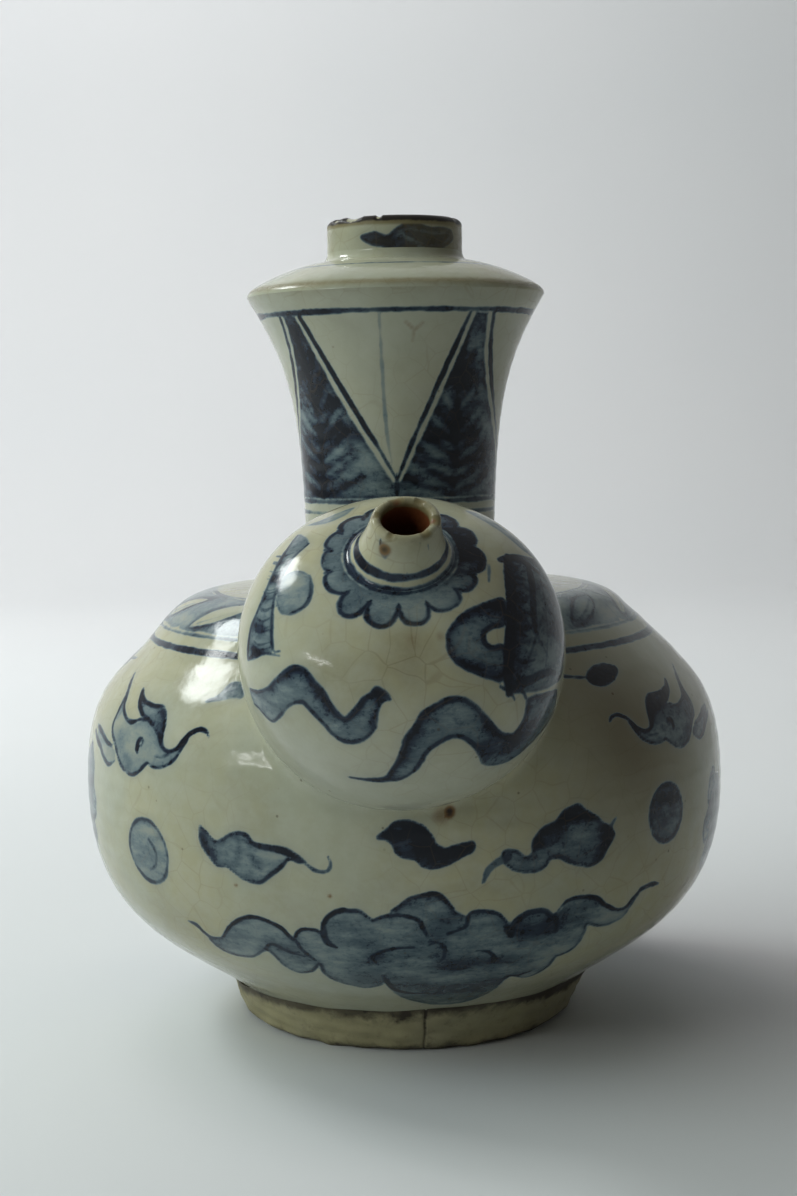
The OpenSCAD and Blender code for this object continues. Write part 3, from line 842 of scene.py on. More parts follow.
for height, left_sag, right_sag, width, ink in (
    (42.6, 0.4, 0.4, 1.7, 0.9),
    (47.0, -0.3, 0.3, 0.9, 0.6),
    (63.0, -0.3, 0.3, 1.0, 0.7),
):
    ring = [(-300, 0), (-150, left_sag), (0, 0), (150, right_sag), (300, 0)]
    dome_art.stroke(dome_chart(0, height), ring, width, ink, (1, 1))
dome_grid = turn(dome_profile, body_angles)
dome_layers = dome_art.layers(len(dome_grid))
# Painted shade on the right of the dome.
dome_layers["right_side_shade"] = right_side_shade(body_angles, dome_grid[..., 2])
dome_piece = lay("upper_body_ware", dome_grid, dome_layers)
dome_piece.data.materials.append(painted_glaze)
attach(dome_piece, "root")
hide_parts("upper_body")


# Neck
# A tapering cylinder, thrown separately with a trumpet mouth, and stuck on the dome's flat top.
# Its panels are tall white triangles between others filled with dark leaves.
def neck_panels(art, chart, low, high):
    """Four white triangles, point down and edged with a line, and the leafy ground between them."""
    ground = np.full(art.shape, art.farthest).ravel()
    sprays = []
    top = high - low
    for middle, left, right, leaf_turn in (
        (0, -26, 18.5, 33),
        (90, -28, 22, 135),
        (180, -22, 22, 225),
        (270, -22, 20, 310),
    ):
        place = chart(middle, low)
        triangle = np.array([(-0.5, 5.5), (right, top), (right, top + 4), (left, top + 4), (left, top)])
        path = np.concatenate([triangle, triangle[:1]])
        chosen, edge = art.edge_of(place, path)
        ground[chosen] = np.minimum(ground[chosen], edge)
        lean = np.linspace(0, 1, 6)
        for foot, corner in ((-0.8, left), (-0.2, right)):
            side_line = np.stack([foot + (corner - foot) * lean**1.08, 5.5 + (top - 5.5) * lean], -1)
            art.stroke(place, side_line, 1.2, 1.0, (0.8, 0.9))
        art.stroke(place, [(-0.5, 6.5), (-0.5, 1)], 1.2, 0.8)
        art.stroke(place, [(-4, top), (-3.4, 27), (-2.6, 15), (-1.6, 9)], 1.1, 0.34, (0.9, 0.5))
        leaves = chart(leaf_turn, low)
        sprays.append((leaves, [(-0.5, top - 3), (0, 26), (0.4, 12), (0, 1)]))
        for rise, reach in ((34, 3), (28, 5), (22, 7), (15.5, 9), (9, 11)):
            for hand in (-1, 1):
                tip = hand * reach
                upper = [(0, rise - 5), (tip * 0.45, rise - 2.6), (tip, rise + 1.5)]
                lower = [(hand, rise - 7.5), (tip * 0.7, rise - 5.6), (tip * 1.1, rise - 3)]
                sprays += [(leaves, upper), (leaves, lower)]
    height = chart(0, low)[..., 1].ravel()
    panel = np.maximum.reduce([1.45 - ground, 0.3 - height, height - top])
    art.tone = np.where(panel < art.wash, 0.6 + 0.12 * np.clip(height / 44, 0, 1), art.tone)
    art.wash = np.minimum(panel, art.wash)
    for leaves, blade in sprays:
        art.deepen(leaves, blade, 0.95, 0.5)


neck_high = corners("neck")[1]
neck_wall = 4.5
neck_r = 23.8
neck_start = corners("neck_lute")[1][2]
flange_r = neck_high[0]
flange_z = neck_high[2]
neck_rise = flange_z - neck_start
flare = cubic(
    [
        (neck_r, neck_start),
        (neck_r, neck_start + 0.577 * neck_rise),
        (flange_r - 0.774 * (flange_r - neck_r), flange_z - 0.249 * neck_rise),
        (flange_r, flange_z),
    ],
    400,
)
neck_fine = np.concatenate([[[neck_r, dome_top]], flare])
neck_out = even(neck_fine, 160)
neck_in = inset(even(neck_fine, 14), neck_wall)[::-1]
neck_in[0] = (flange_r - 5.3, flange_z)
neck_in[-1] = (neck_r - neck_wall, dome_top)
neck_angles = angles_round(420, 0.25)
neck_art = Cobalt((len(neck_out), len(neck_angles)))
neck_chart = unrolled(neck_angles, neck_out[:, 0], neck_out[:, 1])
neck_panels(neck_art, neck_chart, 131.0, 175.6)
flange_line = [(-130, 0), (-60, 0.2), (0, 0), (60, 0.2), (130, 0)]
neck_art.stroke(neck_chart(0, 176.2), flange_line, 1.3, 0.95, (1, 1))
neck_art.stroke(neck_chart(0, 130.6), [(-90, 0), (0, 0), (90, 0)], 1.1, 0.75, (1, 1))
neck_art.stroke(neck_chart(0, 127.6), [(-90, 0), (0, 0.2), (90, 0)], 0.8, 0.55, (1, 1))
for across, above in ((-2, 1.9), (2, 1.7), (-0.3, -2.4)):
    for share in np.linspace(0, 1, 4):
        neck_art.spot(neck_chart(7.5, 171.4), share * across, share * above, 0.9, 0.3)
neck_grid = turn(np.concatenate([neck_out, neck_in]), neck_angles)
neck_layers = neck_art.layers(len(neck_grid))
# Painted shade on the top of the flare, which faces down under the flange edge, in the stain colour.
flange_underside_shade = np.interp(neck_out[:, 1], [175, 178, flange_z], [0, 0.2, 0.4])
neck_layers["wear_and_shade"] = np.append(flange_underside_shade, np.zeros(len(neck_in)))[:, None]
neck_layers["thick"] = 1.0
neck_piece = lay("neck_ware", neck_grid, neck_layers)
neck_piece.data.materials.append(painted_glaze)
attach(neck_piece, "root")
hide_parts("neck")


# Neck lute
# The roll of soft clay worked into the corner round the neck's root with a wet finger.
# It was glazed along with the neck, and has no painting.
def fillet(inner, outer, low, high):
    """A hollow quarter from (outer, low) up to (inner, high), closed behind through the corner."""
    t = np.linspace(0, np.pi / 2, 14)
    curve = np.stack([outer - (outer - inner) * np.sin(t), high - (high - low) * np.cos(t)], -1)
    return np.concatenate([curve, [[inner - 0.1, high], [inner - 0.1, low], [outer, low - 0.1]]])


plain_glaze = glaze("plain_glaze", painted=False)
root_profile = fillet(neck_r, neck_root, dome_top, neck_start)
root_piece = lay("neck_lute_ware", turn(root_profile, angles_round(240, 0)))
root_piece.data.materials.append(plain_glaze)
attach(root_piece, "root")
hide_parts("neck_lute")


# Flange cap
# A sloping ring of clay laid over the neck's mouth, so that the flare ends in a sharp flange.
# Handling has rubbed its edge, and stain has got into the worn glaze.
cap_z = corners("flange_cap")[1][2]
mouth_r = 13.0
cap_end = 19.5
cap_rise = cap_z - flange_z
cap_span = flange_r - cap_end
cap_fine = cubic(
    [
        (flange_r, flange_z),
        (flange_r + 0.4, flange_z + 0.33 * cap_rise),
        (cap_end + 0.25 * cap_span, cap_z - 0.05 * cap_rise),
        (cap_end, cap_z),
    ],
    200,
)
cap_out = even(cap_fine, 60)
cap_run = length_along(cap_out)
cap_wall = 4.0
cap_in = np.array(
    [
        [mouth_r, cap_z],
        [mouth_r, cap_z - cap_wall],
        [22, cap_z - cap_wall - 0.4],
        [29, flange_z + 2.2],
        [32, flange_z],
    ]
)
cap_angles = angles_round(360, 0.2)
cap_art = Cobalt((len(cap_out), len(cap_angles)))
cap_chart = unrolled(cap_angles, cap_out[:, 0], cap_run)
cap_line = [(-150, 0), (-60, 0.2), (0, 0), (60, 0.2), (150, 0)]
cap_art.stroke(cap_chart(0, 13.2), cap_line, 0.9, 0.55, (1, 1))
cap_grid = turn(np.concatenate([cap_out, cap_in]), cap_angles)
cap_layers = cap_art.layers(len(cap_grid))
cap_rubbed = 0.75 * np.exp(-(((cap_run - 1.8) / 1.5) ** 2))
cap_layers["wear_and_shade"] = np.append(cap_rubbed, np.zeros(len(cap_in)))[:, None]
cap_piece = lay("flange_cap_ware", cap_grid, cap_layers)
stained_glaze = glaze("stained_glaze", burnt=colour(38, 34, 30))
cap_piece.data.materials.append(stained_glaze)
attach(cap_piece, "root")
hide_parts("flange_cap")


# Mouth collar
# The short collar round the mouth. Its rim was wiped almost bare, dressed dark, and has chipped since.
# A single cloud is brushed across the front.
def chipped(angles, edge, chips):
    """How deep chips go into a rim: for each turn, width and depth a parabola along it, times edge.

    edge is 1 on the rim and falls to 0 below it.
    """
    depth = 0 * edge * angles
    for turn_to, width, deepest in chips:
        apart = (np.degrees(angles) - turn_to + 180) % 360 - 180
        depth = np.maximum(depth, deepest * np.clip(1 - (apart / width) ** 2, 0, 1) * edge)
    return depth


collar_high = corners("mouth_collar")[1]
collar_r = collar_high[0]
mouth_z = collar_high[2]
rim = 2.0
rim_h = 0.8 * rim
rim_t = np.linspace(0, np.pi, 20)
rim_curve = np.stack([mouth_r + rim + rim * np.cos(rim_t), mouth_z - rim_h + rim_h * np.sin(rim_t)], -1)
collar_wall = np.linspace((collar_r, cap_z), (collar_r, mouth_z - rim_h), 40)[:-1]
collar_out = np.concatenate([collar_wall, rim_curve])
collar_in = np.linspace((mouth_r, mouth_z - rim_h), (mouth_r, cap_z), 10)[1:]
collar_profile = np.concatenate([collar_out, collar_in])
collar_angles = angles_round(360, 0.3)
collar_grid = turn(collar_profile, collar_angles)
rim_edge = np.clip((collar_profile[:, 1:] - mouth_z + 2.2) / 2.2, 0, 1)
rim_edge = rim_edge * (collar_profile[:, :1] > mouth_r + 0.8)
rim_chips = ((-40, 11, 0.5), (-62, 6, 0.4), (-14, 3.5, 0.4), (64, 5, 0.3), (150, 9, 0.5))
chips = chipped(collar_angles, rim_edge, rim_chips)
collar_grid[..., 2] -= chips
collar_grid[..., :2] *= (1 - 0.6 * chips / collar_r)[..., None]
collar_art = Cobalt((len(collar_out), len(collar_angles)))
collar_chart = unrolled(collar_angles, np.maximum(collar_out[:, 0], 15), length_along(collar_out))
mouth_cloud = [
    (-8.5, 0.2), (-5, 0.8), (-2, 0), (0, 1.2), (2.5, 2.8), (6, 2.6), (9, 1.6), (12, 1.8),
    (15.5, 1.5), (16.5, -0.5), (13.5, -2.2), (10, -3.6), (7, -2.6), (4, -3.4), (0, -3.8),
    (-3, -2.6), (-6, -2), (-8, -1),
]
outlined(collar_art, collar_chart(0, 5.4), mouth_cloud, 0.7, 0.7, 0.85)
collar_art.stroke(collar_chart(0, 5.4), [(3, 0.5), (7, -0.6), (11, -1), (14.5, 0.2)], 2.4, 0.8)
collar_art.stroke(collar_chart(0, 5.4), [(-6, -0.8), (-2, -1.6), (2, -1)], 1.4, 0.6)
outlined(collar_art, collar_chart(180, 5.4), mouth_cloud, 0.7, 0.5, 0.6)
collar_layers = collar_art.layers(len(collar_grid))
rim_dark = np.clip((collar_profile[:, 1] - mouth_z + 2.6) / 1.0, 0, 1.7)[:, None]
collar_grey = 0.28 + 0.4 * np.clip(np.sin(collar_angles), 0, 1)
collar_layers["wear_and_shade"] = np.where(chips > 0.25, 0.0, rim_dark) + collar_grey
collar_piece = lay("mouth_collar_ware", collar_grid, collar_layers)
collar_piece.data.materials.append(stained_glaze)
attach(collar_piece, "root")
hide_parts("mouth_collar")


# Collar lute
# Soft clay drawn round with a finger, in the corner where the collar stands on the cap.
# It was glazed along with them, and has no painting.
collar_lute = corners("collar_lute")[1]
seat_profile = fillet(collar_r, collar_lute[0], cap_z, collar_lute[2])
seat_piece = lay("collar_lute_ware", turn(seat_profile, angles_round(240, 0)))
seat_piece.data.materials.append(plain_glaze)
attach(seat_piece, "root")
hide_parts("collar_lute")


# Spout bulb
# A hollow ball thrown off the hump, cut to a saddle and stuck over a hole in the dome's shoulder.
# It is painted with waving ribbons, two tied emblems, and a collar of petals below the nozzle.
tilt = math.radians(52.9)
spout_axis = np.array([0, -math.cos(tilt), math.sin(tilt)])
spout_rise = np.array([0, math.sin(tilt), math.cos(tilt)])
spout_centre = np.array([0, -75.1, 101.7])
bulb_r = 35.4
bulb_up = 26.5
bulb_down = 31.5
bulb_wall = 4.0
nozzle_r = 11.1
bore_r = 5.0


def spout_turn(r, s, angles):
    """Points at radius r and height s on the spout's axis, turned by angles from its underside.

    Two slow waves make the bulb uneven, and past its crown the nozzle leans to the right.
    """
    uneven = 0.18 * np.sin(2 * angles + s / 9) + 0.1 * np.sin(3 * angles - s / 6)
    r = r + uneven * np.clip((26 - s) / 12, 0, 1)
    lean = np.clip((s - bulb_up) / 11, 0, 1)
    across = (r * np.sin(angles) + 1.3 * lean)[..., None] * np.array([1.0, 0, 0])
    below = (r * np.cos(angles) + lean)[..., None] * spout_rise
    return spout_centre + s[..., None] * spout_axis + across - below


bulb_high = cubic(
    [
        (nozzle_r, bulb_up),
        (nozzle_r + 0.53 * (bulb_r - nozzle_r), 0.909 * bulb_up),
        (bulb_r, 0.652 * bulb_up),
        (bulb_r, 0),
    ],
    400,
)
bulb_low = cubic(
    [
        (bulb_r, 0),
        (bulb_r, -0.635 * bulb_down),
        (0.65 * bulb_r, -bulb_down),
        (0, -bulb_down),
    ],
    400,
)
bulb_fine = even(np.concatenate([bulb_high, bulb_low[1:]]), 700)
bulb_run = length_along(bulb_fine)
bulb_inner = inset(bulb_fine[::-1], bulb_wall)[::-1]
bulb_angles = angles_round(480, 0.2)


def outside_pot(points):
    """How far points are outside the body's skin, radially, and below zero inside it."""
    body = np.concatenate([bowl, dome_fine])
    reach = np.interp(points[..., 2], body[:, 1], body[:, 0], right=0)
    return np.hypot(points[..., 0], points[..., 1]) - reach


bulb_spread = 0 * bulb_angles
tried = spout_turn(bulb_fine[:, :1] + bulb_spread, bulb_fine[:, 1:] + bulb_spread, bulb_angles)
seam = bulb_run[np.argmax(outside_pot(tried) < 0, axis=0)] + 0.2
shares = np.linspace(1, 0, 190)[:, None]
outer_run = shares * seam
bulb_s = np.interp(outer_run, bulb_run, bulb_fine[:, 1])
bulb_out = spout_turn(np.interp(outer_run, bulb_run, bulb_fine[:, 0]), bulb_s, bulb_angles)
inner_run = np.linspace(0, 1, 14)[:, None] * seam
inner_r = np.maximum(np.interp(inner_run, bulb_run, bulb_inner[:, 0]), bore_r)
bulb_back = spout_turn(inner_r, np.interp(inner_run, bulb_run, bulb_inner[:, 1]), bulb_angles)
bulb_mouth = spout_turn(bore_r + bulb_spread[None], bulb_up + bulb_spread[None], bulb_angles)
bulb_grid = np.concatenate([bulb_out, bulb_mouth, bulb_back])

# The bulb's chart is a ball seen from the front: each point lies as far out as its angle from there.
facing = math.radians(7.2)
ball = 33.0
face = np.array([0, -math.cos(facing), math.sin(facing)])
face_up = np.array([0, math.sin(facing), math.cos(facing)])
ray = bulb_out - spout_centre
ray = ray / np.linalg.norm(ray, axis=-1)[..., None]
bend = np.arccos(np.clip(ray @ face, -1, 1))
ray_across = np.stack([ray[..., 0], ray @ face_up], -1)
ray_across = ray_across / np.maximum(np.linalg.norm(ray_across, axis=-1), 1e-6)[..., None]
ball_place = ball * bend[..., None] * ray_across

bulb_art = Cobalt(bulb_out.shape[:2])
ribbon_left_up = [
    (-38.5, -10), (-34, -10), (-30, -8.5), (-27.5, -6.5), (-25, -5), (-22.5, -4), (-20, -4.5),
    (-18, -6.5), (-16, -8.5), (-14.5, -11), (-13, -13), (-11.5, -14), (-10, -13), (-8.5, -11.5),
    (-7.5, -10), (-6, -9), (-5, -8), (-3, -9), (-2.5, -10),
]
ribbon_left_low = [
    (-38, -14), (-36, -14.5), (-33, -16.5), (-30.5, -17), (-27, -14.5), (-24, -12), (-21, -11),
    (-19.5, -12), (-18, -13.5), (-16, -15.5), (-14.5, -17.5), (-12, -19), (-10, -19), (-7.5, -18),
    (-5.5, -15.5), (-5, -12.5), (-4, -10.5), (-2.5, -10),
]
ribbon_right_up = [
    (-12, -29), (-8.5, -29), (-4, -28), (-2, -25), (-0.5, -22), (0.5, -18), (2.5, -15.5), (4, -13),
    (6.5, -11.5), (9, -10.5), (12, -10.5), (14.5, -12), (16.5, -14.5), (19.5, -18), (22, -19.5),
    (24.5, -19.5), (26.5, -17), (27, -14), (27.5, -11.5), (33.5, -11.5), (40, -12),
]
ribbon_right_low = [
    (-12, -29), (-6.5, -29.5), (-1, -28.5), (2.5, -25.5), (4.5, -21.5), (6.5, -19.5), (9.5, -18),
    (12, -18.5), (14.5, -20.5), (16, -23), (17.5, -26), (20.5, -27.5), (25, -28), (30, -26.5),
    (35.5, -23.5), (42, -20),
]
ribbons = ((ribbon_left_up, ribbon_left_low, 0.42), (ribbon_right_up, ribbon_right_low, 0.48))
for above, below, tone in ribbons:
    bulb_art.pool(ball_place, above + below[::-1], tone)
    bulb_art.deepen(ball_place, above, 1.9, 0.36)
    bulb_art.stroke(ball_place, above, 1.2, 0.85)
    bulb_art.stroke(ball_place, below, 0.9, 0.75)
bulb_art.deepen(ball_place, [(-5, -9.5), (-4.5, -12), (-6, -14)], 1.4, 0.4)
bulb_art.deepen(ball_place, [(17, -22), (20, -24), (25, -23), (31, -18)], 2.2, 0.25)

strip_left = [
    (-31.5, 35), (-33.5, 24.5), (-35, 12.5), (-37.5, 5), (-38, -2.5), (-32, -1.5), (-28.5, 0),
    (-30, 6.5), (-31, 14.5), (-29.5, 24), (-26, 30),
]
bulb_art.pool(ball_place, strip_left, 0.44)
bulb_art.stroke(ball_place, strip_left[:5], 1.3, 0.85)
bulb_art.stroke(ball_place, strip_left[:5:-1] + [(-26.5, -0.5)], 1.2, 0.85)
bulb_art.stroke(ball_place, [(-38, -2.5), (-34, -1), (-30, -1), (-26.5, -1.5)], 1.0, 0.8)
for step in range(17):
    drop = 1.75 * step + 0.7 * math.sin(2.3 * step)
    rung = [(-36 + drop / 40, 27 - drop), (-33, 26 - drop), (-29.5 + math.sin(step), 26.8 - drop)]
    bulb_art.stroke(ball_place, rung, 0.65 + 0.25 * math.sin(3.1 * step), 0.85)
    bulb_art.deepen(ball_place, [rung[0], rung[1]], 1.3, 0.1 + 0.3 * math.sin(1.7 * step))
ball_ring = [
    (-31, 15), (-30, 18.5), (-27, 20), (-23.5, 18.5), (-21.5, 14), (-22, 10), (-24.5, 8),
    (-28.5, 9),
]
outlined(bulb_art, ball_place, ball_ring, 0.8, 0.5, 0.4)
bulb_art.stroke(ball_place, [(-23, 18.5), (-21.5, 14), (-22, 10), (-25, 8.2)], 1.2, 0.75)
bulb_art.pool(ball_place, [(-31, 40), (-26, 41), (-20, 45), (-15, 47.5), (-18, 42), (-24, 38.5)], 0.36)

strip_right = [
    (28, 23.5), (36, 25), (46, 23.5), (46, 14.5), (45, 3.5), (43, -5), (40, -9.5), (25, -10.5),
    (21, -9), (21, -3), (24.5, 10.5),
]
bulb_art.pool(ball_place, strip_right, 0.66)
bulb_art.deepen(ball_place, [(29, 24), (27, 14), (25, 4), (23, -5), (22.5, -10)], 3.0, 0.4)
for points, width, ink in (
    ([(29, 24), (27.4, 17), (25.8, 10.5), (23.8, 2), (22.3, -4), (22, -10)], 2.6, 0.95),
    ([(34.5, 22), (33.5, 16), (31.5, 9), (30.5, 3)], 2.0, 0.95),
    ([(26.5, 22.5), (29, 23.5), (33, 22.5), (38, 19.5)], 2.2, 0.9),
    ([(22, -8.5), (27, -7.8), (33, -6.5), (37, -7)], 2.2, 0.85),
    ([(25.5, -10), (27.5, -12), (31, -11.5)], 1.0, 0.9),
    ([(20, -8.5), (22, -9.5), (23.5, -11.5)], 0.7, 0.9),
    ([(27, 9), (30, 3), (34, -3)], 0.7, 0.5),
    ([(34, 7), (30, 1), (27, -4)], 0.7, 0.5),
    ([(37, 16), (35.5, 8), (34, 0), (32.5, -6)], 0.8, 0.4),
):
    bulb_art.stroke(ball_place, points, width, ink, (0.8, 0.6))
for step in range(9):
    drop = 3.4 * step + 1.2 * math.sin(1.9 * step)
    rung = [(28.5, 21.5), (30, 20.5 - math.sin(5 * step)), (32 + 1.5 * math.sin(3 * step), 21.2)]
    rung = np.array(rung) - (drop / 6, drop)
    bulb_art.stroke(ball_place, rung, 1.0 + 0.6 * math.sin(2.7 * step), 0.9)
ribbon_c = [
    (24, 10.5), (20.5, 10), (16.5, 8.5), (13, 6.5), (10, 3), (9.5, 1), (10, -2), (12, -4),
    (15, -5.5), (17.5, -6.5), (20.5, -7), (22, -4), (21.5, -0.5), (19, -0.5), (17.5, 0.5),
    (17.5, 2.5), (19.5, 4), (23, 5),
]
outlined(bulb_art, ball_place, ribbon_c, 0.9, 0.8, 0.75)
bulb_art.deepen(ball_place, [(22, 9), (15, 7), (11, 3), (11, -1), (14, -4.5), (20, -6)], 1.6, 0.26)
far_leaf = [(22, 45), (27, 44), (33, 38), (38, 31), (42, 26), (36, 27), (31, 34), (26, 40)]
bulb_art.pool(ball_place, far_leaf, 0.42)
bulb_art.stroke(ball_place, [(23, 21), (21.5, 15.5)], 0.8, 0.45)

# The petals have a chart of their own, by turn round the nozzle and by distance from its root.
around = bulb_angles + 0 * outer_run
petal_r = 15.0
petal_place = np.stack([around * petal_r, -outer_run], -1)
notches = (-178, -152, -126, -102, -76, -48, -26, -2, 21, 49, 72, 104, 129, 154, 182)
tips = (6.5, 6.2, 5.6, 5.2, 6.0, 8.3, 8.4, 7.9, 6.8, 6.0, 6.4, 6.4, 6.4, 6.5)
petals = []
for first, last, tip in zip(notches[:-1], notches[1:], tips):
    for share, depth in ((0.0, 0.0), (0.14, 0.62), (0.35, 0.97), (0.65, 1.0), (0.86, 0.62)):
        notch = 4.9 if tip > 6.6 else 4.2
        drop = notch + (tip - notch) * depth
        petals.append((math.radians(first + (last - first) * share) * petal_r, -drop))
    turned = math.radians(first) * petal_r
    crease = [(turned, -5.0), (turned * 0.985, -4.2), (turned * 0.97, -3.2)]
    bulb_art.stroke(petal_place, crease, 1.1, 0.8, (1, 0.3))
petals.append((math.radians(notches[-1]) * petal_r, -4.5))
petal_edge = np.array(petals)
bulb_art.stroke(petal_place, petal_edge, 1.0, 0.9, (1, 1))
inside = np.interp(petal_place[..., 0], petal_edge[:, 0], petal_edge[:, 1]) - petal_place[..., 1]
collar = np.maximum(inside, -(outer_run - 0.9)).ravel()
petal_tone = 0.44 + 0.75 * np.clip(np.sin(around.ravel() - 0.2), 0, 1) ** 2
bulb_art.tone = np.where(collar < bulb_art.wash, petal_tone, bulb_art.tone)
bulb_art.wash = np.minimum(collar, bulb_art.wash)
crown_line = [(-50, -0.5), (-20, -0.3), (0, -0.5), (20, -0.4), (50, -0.5)]
bulb_art.stroke(petal_place, crown_line, 1.1, 0.9, (1, 1))
for across, above, radius in ((2, 1.5, 3), (8, 2, 1.6)):
    bulb_art.spot(ball_place, across, above, radius, 0.32)
bulb_layers = bulb_art.layers(len(bulb_grid))
bulb_unseen = ((0, len(bulb_grid) - len(bulb_out)), (0, 0))
bulb_thick = np.clip((-6 - ball_place[..., 1]) / 18, 0, 1)
bulb_layers["thick"] = np.pad(bulb_thick, bulb_unseen)
bulb_stain = 0.5 * np.exp(-((ball_place[..., 0] - 1) ** 2 + (ball_place[..., 1] + 1) ** 2) / 9**2)
bulb_layers["wear_and_shade"] = np.pad(bulb_stain, bulb_unseen)
# Painted shade on the bulb's right side.
bulb_right_shade = np.exp(-(((ball_place[..., 0] - 34) / 9) ** 2) - ((ball_place[..., 1] - 8) / 14) ** 2)
bulb_layers["right_side_shade"] = np.pad(bulb_right_shade, bulb_unseen)
bulb_piece = lay("spout_bulb_ware", bulb_grid, bulb_layers)
bulb_piece.data.materials.append(painted_glaze)
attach(bulb_piece, "root")
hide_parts("spout_bulb")


# Spout lute
# Soft clay pressed into the corner all round the saddle, so that bulb and dome run into each other.
# It follows the seam over the shoulder, and is smoothed by finger before glazing.
fillet_width = 3.4 - 1.3 * np.exp(-((bulb_angles / 0.7) ** 2))
body_fine = np.concatenate([bowl, dome_fine[1:]])
body_run = length_along(body_fine)
seam_at = bulb_out[0]
away = ray[0]
seam_turned = np.arctan2(seam_at[:, 0], -seam_at[:, 1])
seam_run = np.interp(seam_at[:, 2], body_fine[:, 1], body_run)
body_slope = np.gradient(body_fine, body_run, axis=0)
slope_r = np.interp(seam_run, body_run, body_slope[:, 0])[:, None]
slope_z = np.interp(seam_run, body_run, body_slope[:, 1])[:, None]
sideways = np.stack([np.cos(seam_turned), np.sin(seam_turned), 0 * seam_turned], -1)
outwards = np.stack([np.sin(seam_turned), -np.cos(seam_turned), 0 * seam_turned], -1)
upwards = slope_r * outwards + slope_z * np.array([0, 0, 1.0])
heading = np.stack([(away * sideways).sum(1), (away * upwards).sum(1)], -1)
heading = heading / np.linalg.norm(heading, axis=1)[:, None]


def on_bulb(distance):
    """The bulb's skin at a distance from the seam, towards the nozzle."""
    run = seam - distance
    r = np.interp(run, bulb_run, bulb_fine[:, 0])
    s = np.interp(run, bulb_run, bulb_fine[:, 1])
    return spout_turn(r, s, bulb_angles)


def on_body(distance):
    """The body's skin at a distance from the seam, straight away from the bulb."""
    turned = seam_turned + distance * heading[:, 0] / np.hypot(seam_at[:, 0], seam_at[:, 1])
    run = seam_run + distance * heading[:, 1]
    z = np.interp(run, body_run, body_fine[:, 1])
    r = np.interp(run, body_run, body_fine[:, 0]) + thrown(turned, z)
    return np.stack([r * np.sin(turned), -r * np.cos(turned), z], -1)


body_toe = on_body(fillet_width)
bulb_toe = on_bulb(fillet_width)
pull = 0.62 * fillet_width[:, None]
body_pull = body_toe + pull * (on_body(fillet_width - 1) - body_toe)
bulb_pull = bulb_toe + pull * (on_bulb(fillet_width - 1) - bulb_toe)
hollow = cubic([body_toe, body_pull, bulb_pull, bulb_toe], 18)
behind = (0.8 * seam_at + 0.1 * body_toe + 0.1 * bulb_toe) - 0.8 * away
saddle_grid = np.concatenate([hollow, behind[None]])
saddle_art = Cobalt(saddle_grid.shape[:2])
saddle_art.spot(saddle_grid[..., ::2], 9.6, 66.5, 1.3)
saddle_art.spot(saddle_grid[..., ::2], 8.2, 66.0, 2.8, 0.42)
saddle_layers = saddle_art.layers(len(saddle_grid))
# Painted shade on the right, as on the body.
saddle_turned = np.arctan2(saddle_grid[..., 0], -saddle_grid[..., 1])
saddle_layers["right_side_shade"] = right_side_shade(saddle_turned, saddle_grid[..., 2])
saddle_piece = lay("spout_lute_ware", saddle_grid, saddle_layers)
saddle_piece.data.materials.append(painted_glaze)
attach(saddle_piece, "root")
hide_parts("spout_lute")


# Spout nozzle
# The short pouring nozzle, pulled up on the bulb's crown and pierced. Its lip is worn to the brown clay.
# Two rings are painted round its root.
lip_r = 7.2
lip_s = 37.6
lip_round = 1.1
nozzle_h = lip_s - bulb_up
nozzle_handles = [
    (nozzle_r - 0.516 * (nozzle_r - lip_r), bulb_up + 0.12 * nozzle_h),
    (lip_r + 0.097 * (nozzle_r - lip_r), lip_s - 0.367 * nozzle_h),
]
nozzle_wall = even(cubic([(nozzle_r, bulb_up), *nozzle_handles, (lip_r, lip_s - lip_round)], 200), 60)
lip_t = np.linspace(0, np.pi, 18)[1:]
lip_from = lip_s - lip_round
lip = np.stack([bore_r + lip_round + lip_round * np.cos(lip_t), lip_from + lip_round * np.sin(lip_t)], -1)
bore = np.linspace((bore_r, lip_from), (bore_r, bulb_up), 14)[1:]
nozzle_profile = np.concatenate([nozzle_wall, lip, bore])
nozzle_angles = angles_round(300, 0.2)
nozzle_at = nozzle_profile[:, None] + 0 * nozzle_angles[:, None]
nozzle_grid = spout_turn(nozzle_at[..., 0], nozzle_at[..., 1], nozzle_angles)
lip_edge = np.clip((nozzle_profile[:, 1:] - lip_s + 1.5) / 1.5, 0, 1)
lip_chips = (
    (-160, 17, 0.4), (-98, 11, 0.3), (-30, 8, 0.2), (38, 12, 0.25), (80, 16, 0.45), (150, 13, 0.35),
)
lip_worn = chipped(nozzle_angles, lip_edge, lip_chips)
nozzle_grid = nozzle_grid - lip_worn[..., None] * spout_axis
nozzle_art = Cobalt((len(nozzle_wall), len(nozzle_angles)))
nozzle_chart = unrolled(nozzle_angles, nozzle_wall[:, 0], nozzle_wall[:, 1])
root_line = [(-40, 0.2), (-15, 0), (0, -0.1), (15, 0), (40, 0.2)]
nozzle_art.stroke(nozzle_chart(0, 28.9), root_line, 1.7, 0.95, (1, 1))
nozzle_art.stroke(nozzle_chart(0, 26.6), [(-40, 0), (0, 0), (40, 0)], 1.0, 0.85, (1, 1))
blotch = [(-1.3, 1.5), (0.5, 1.1), (1.4, -0.5), (0.7, -2.2), (-0.8, -1.0)]
nozzle_art.pool(nozzle_chart(-33, 34.4), blotch, 0.5)
nozzle_art.spot(nozzle_chart(-33, 34.4), 0.1, -0.1, 1.5, 0.85)
scratches = ((-44, 34.8, 36.3), (6, 28, 29.8), (38, 33.5, 35.2), (150, 35, 36.4), (22, 36, 36.5))
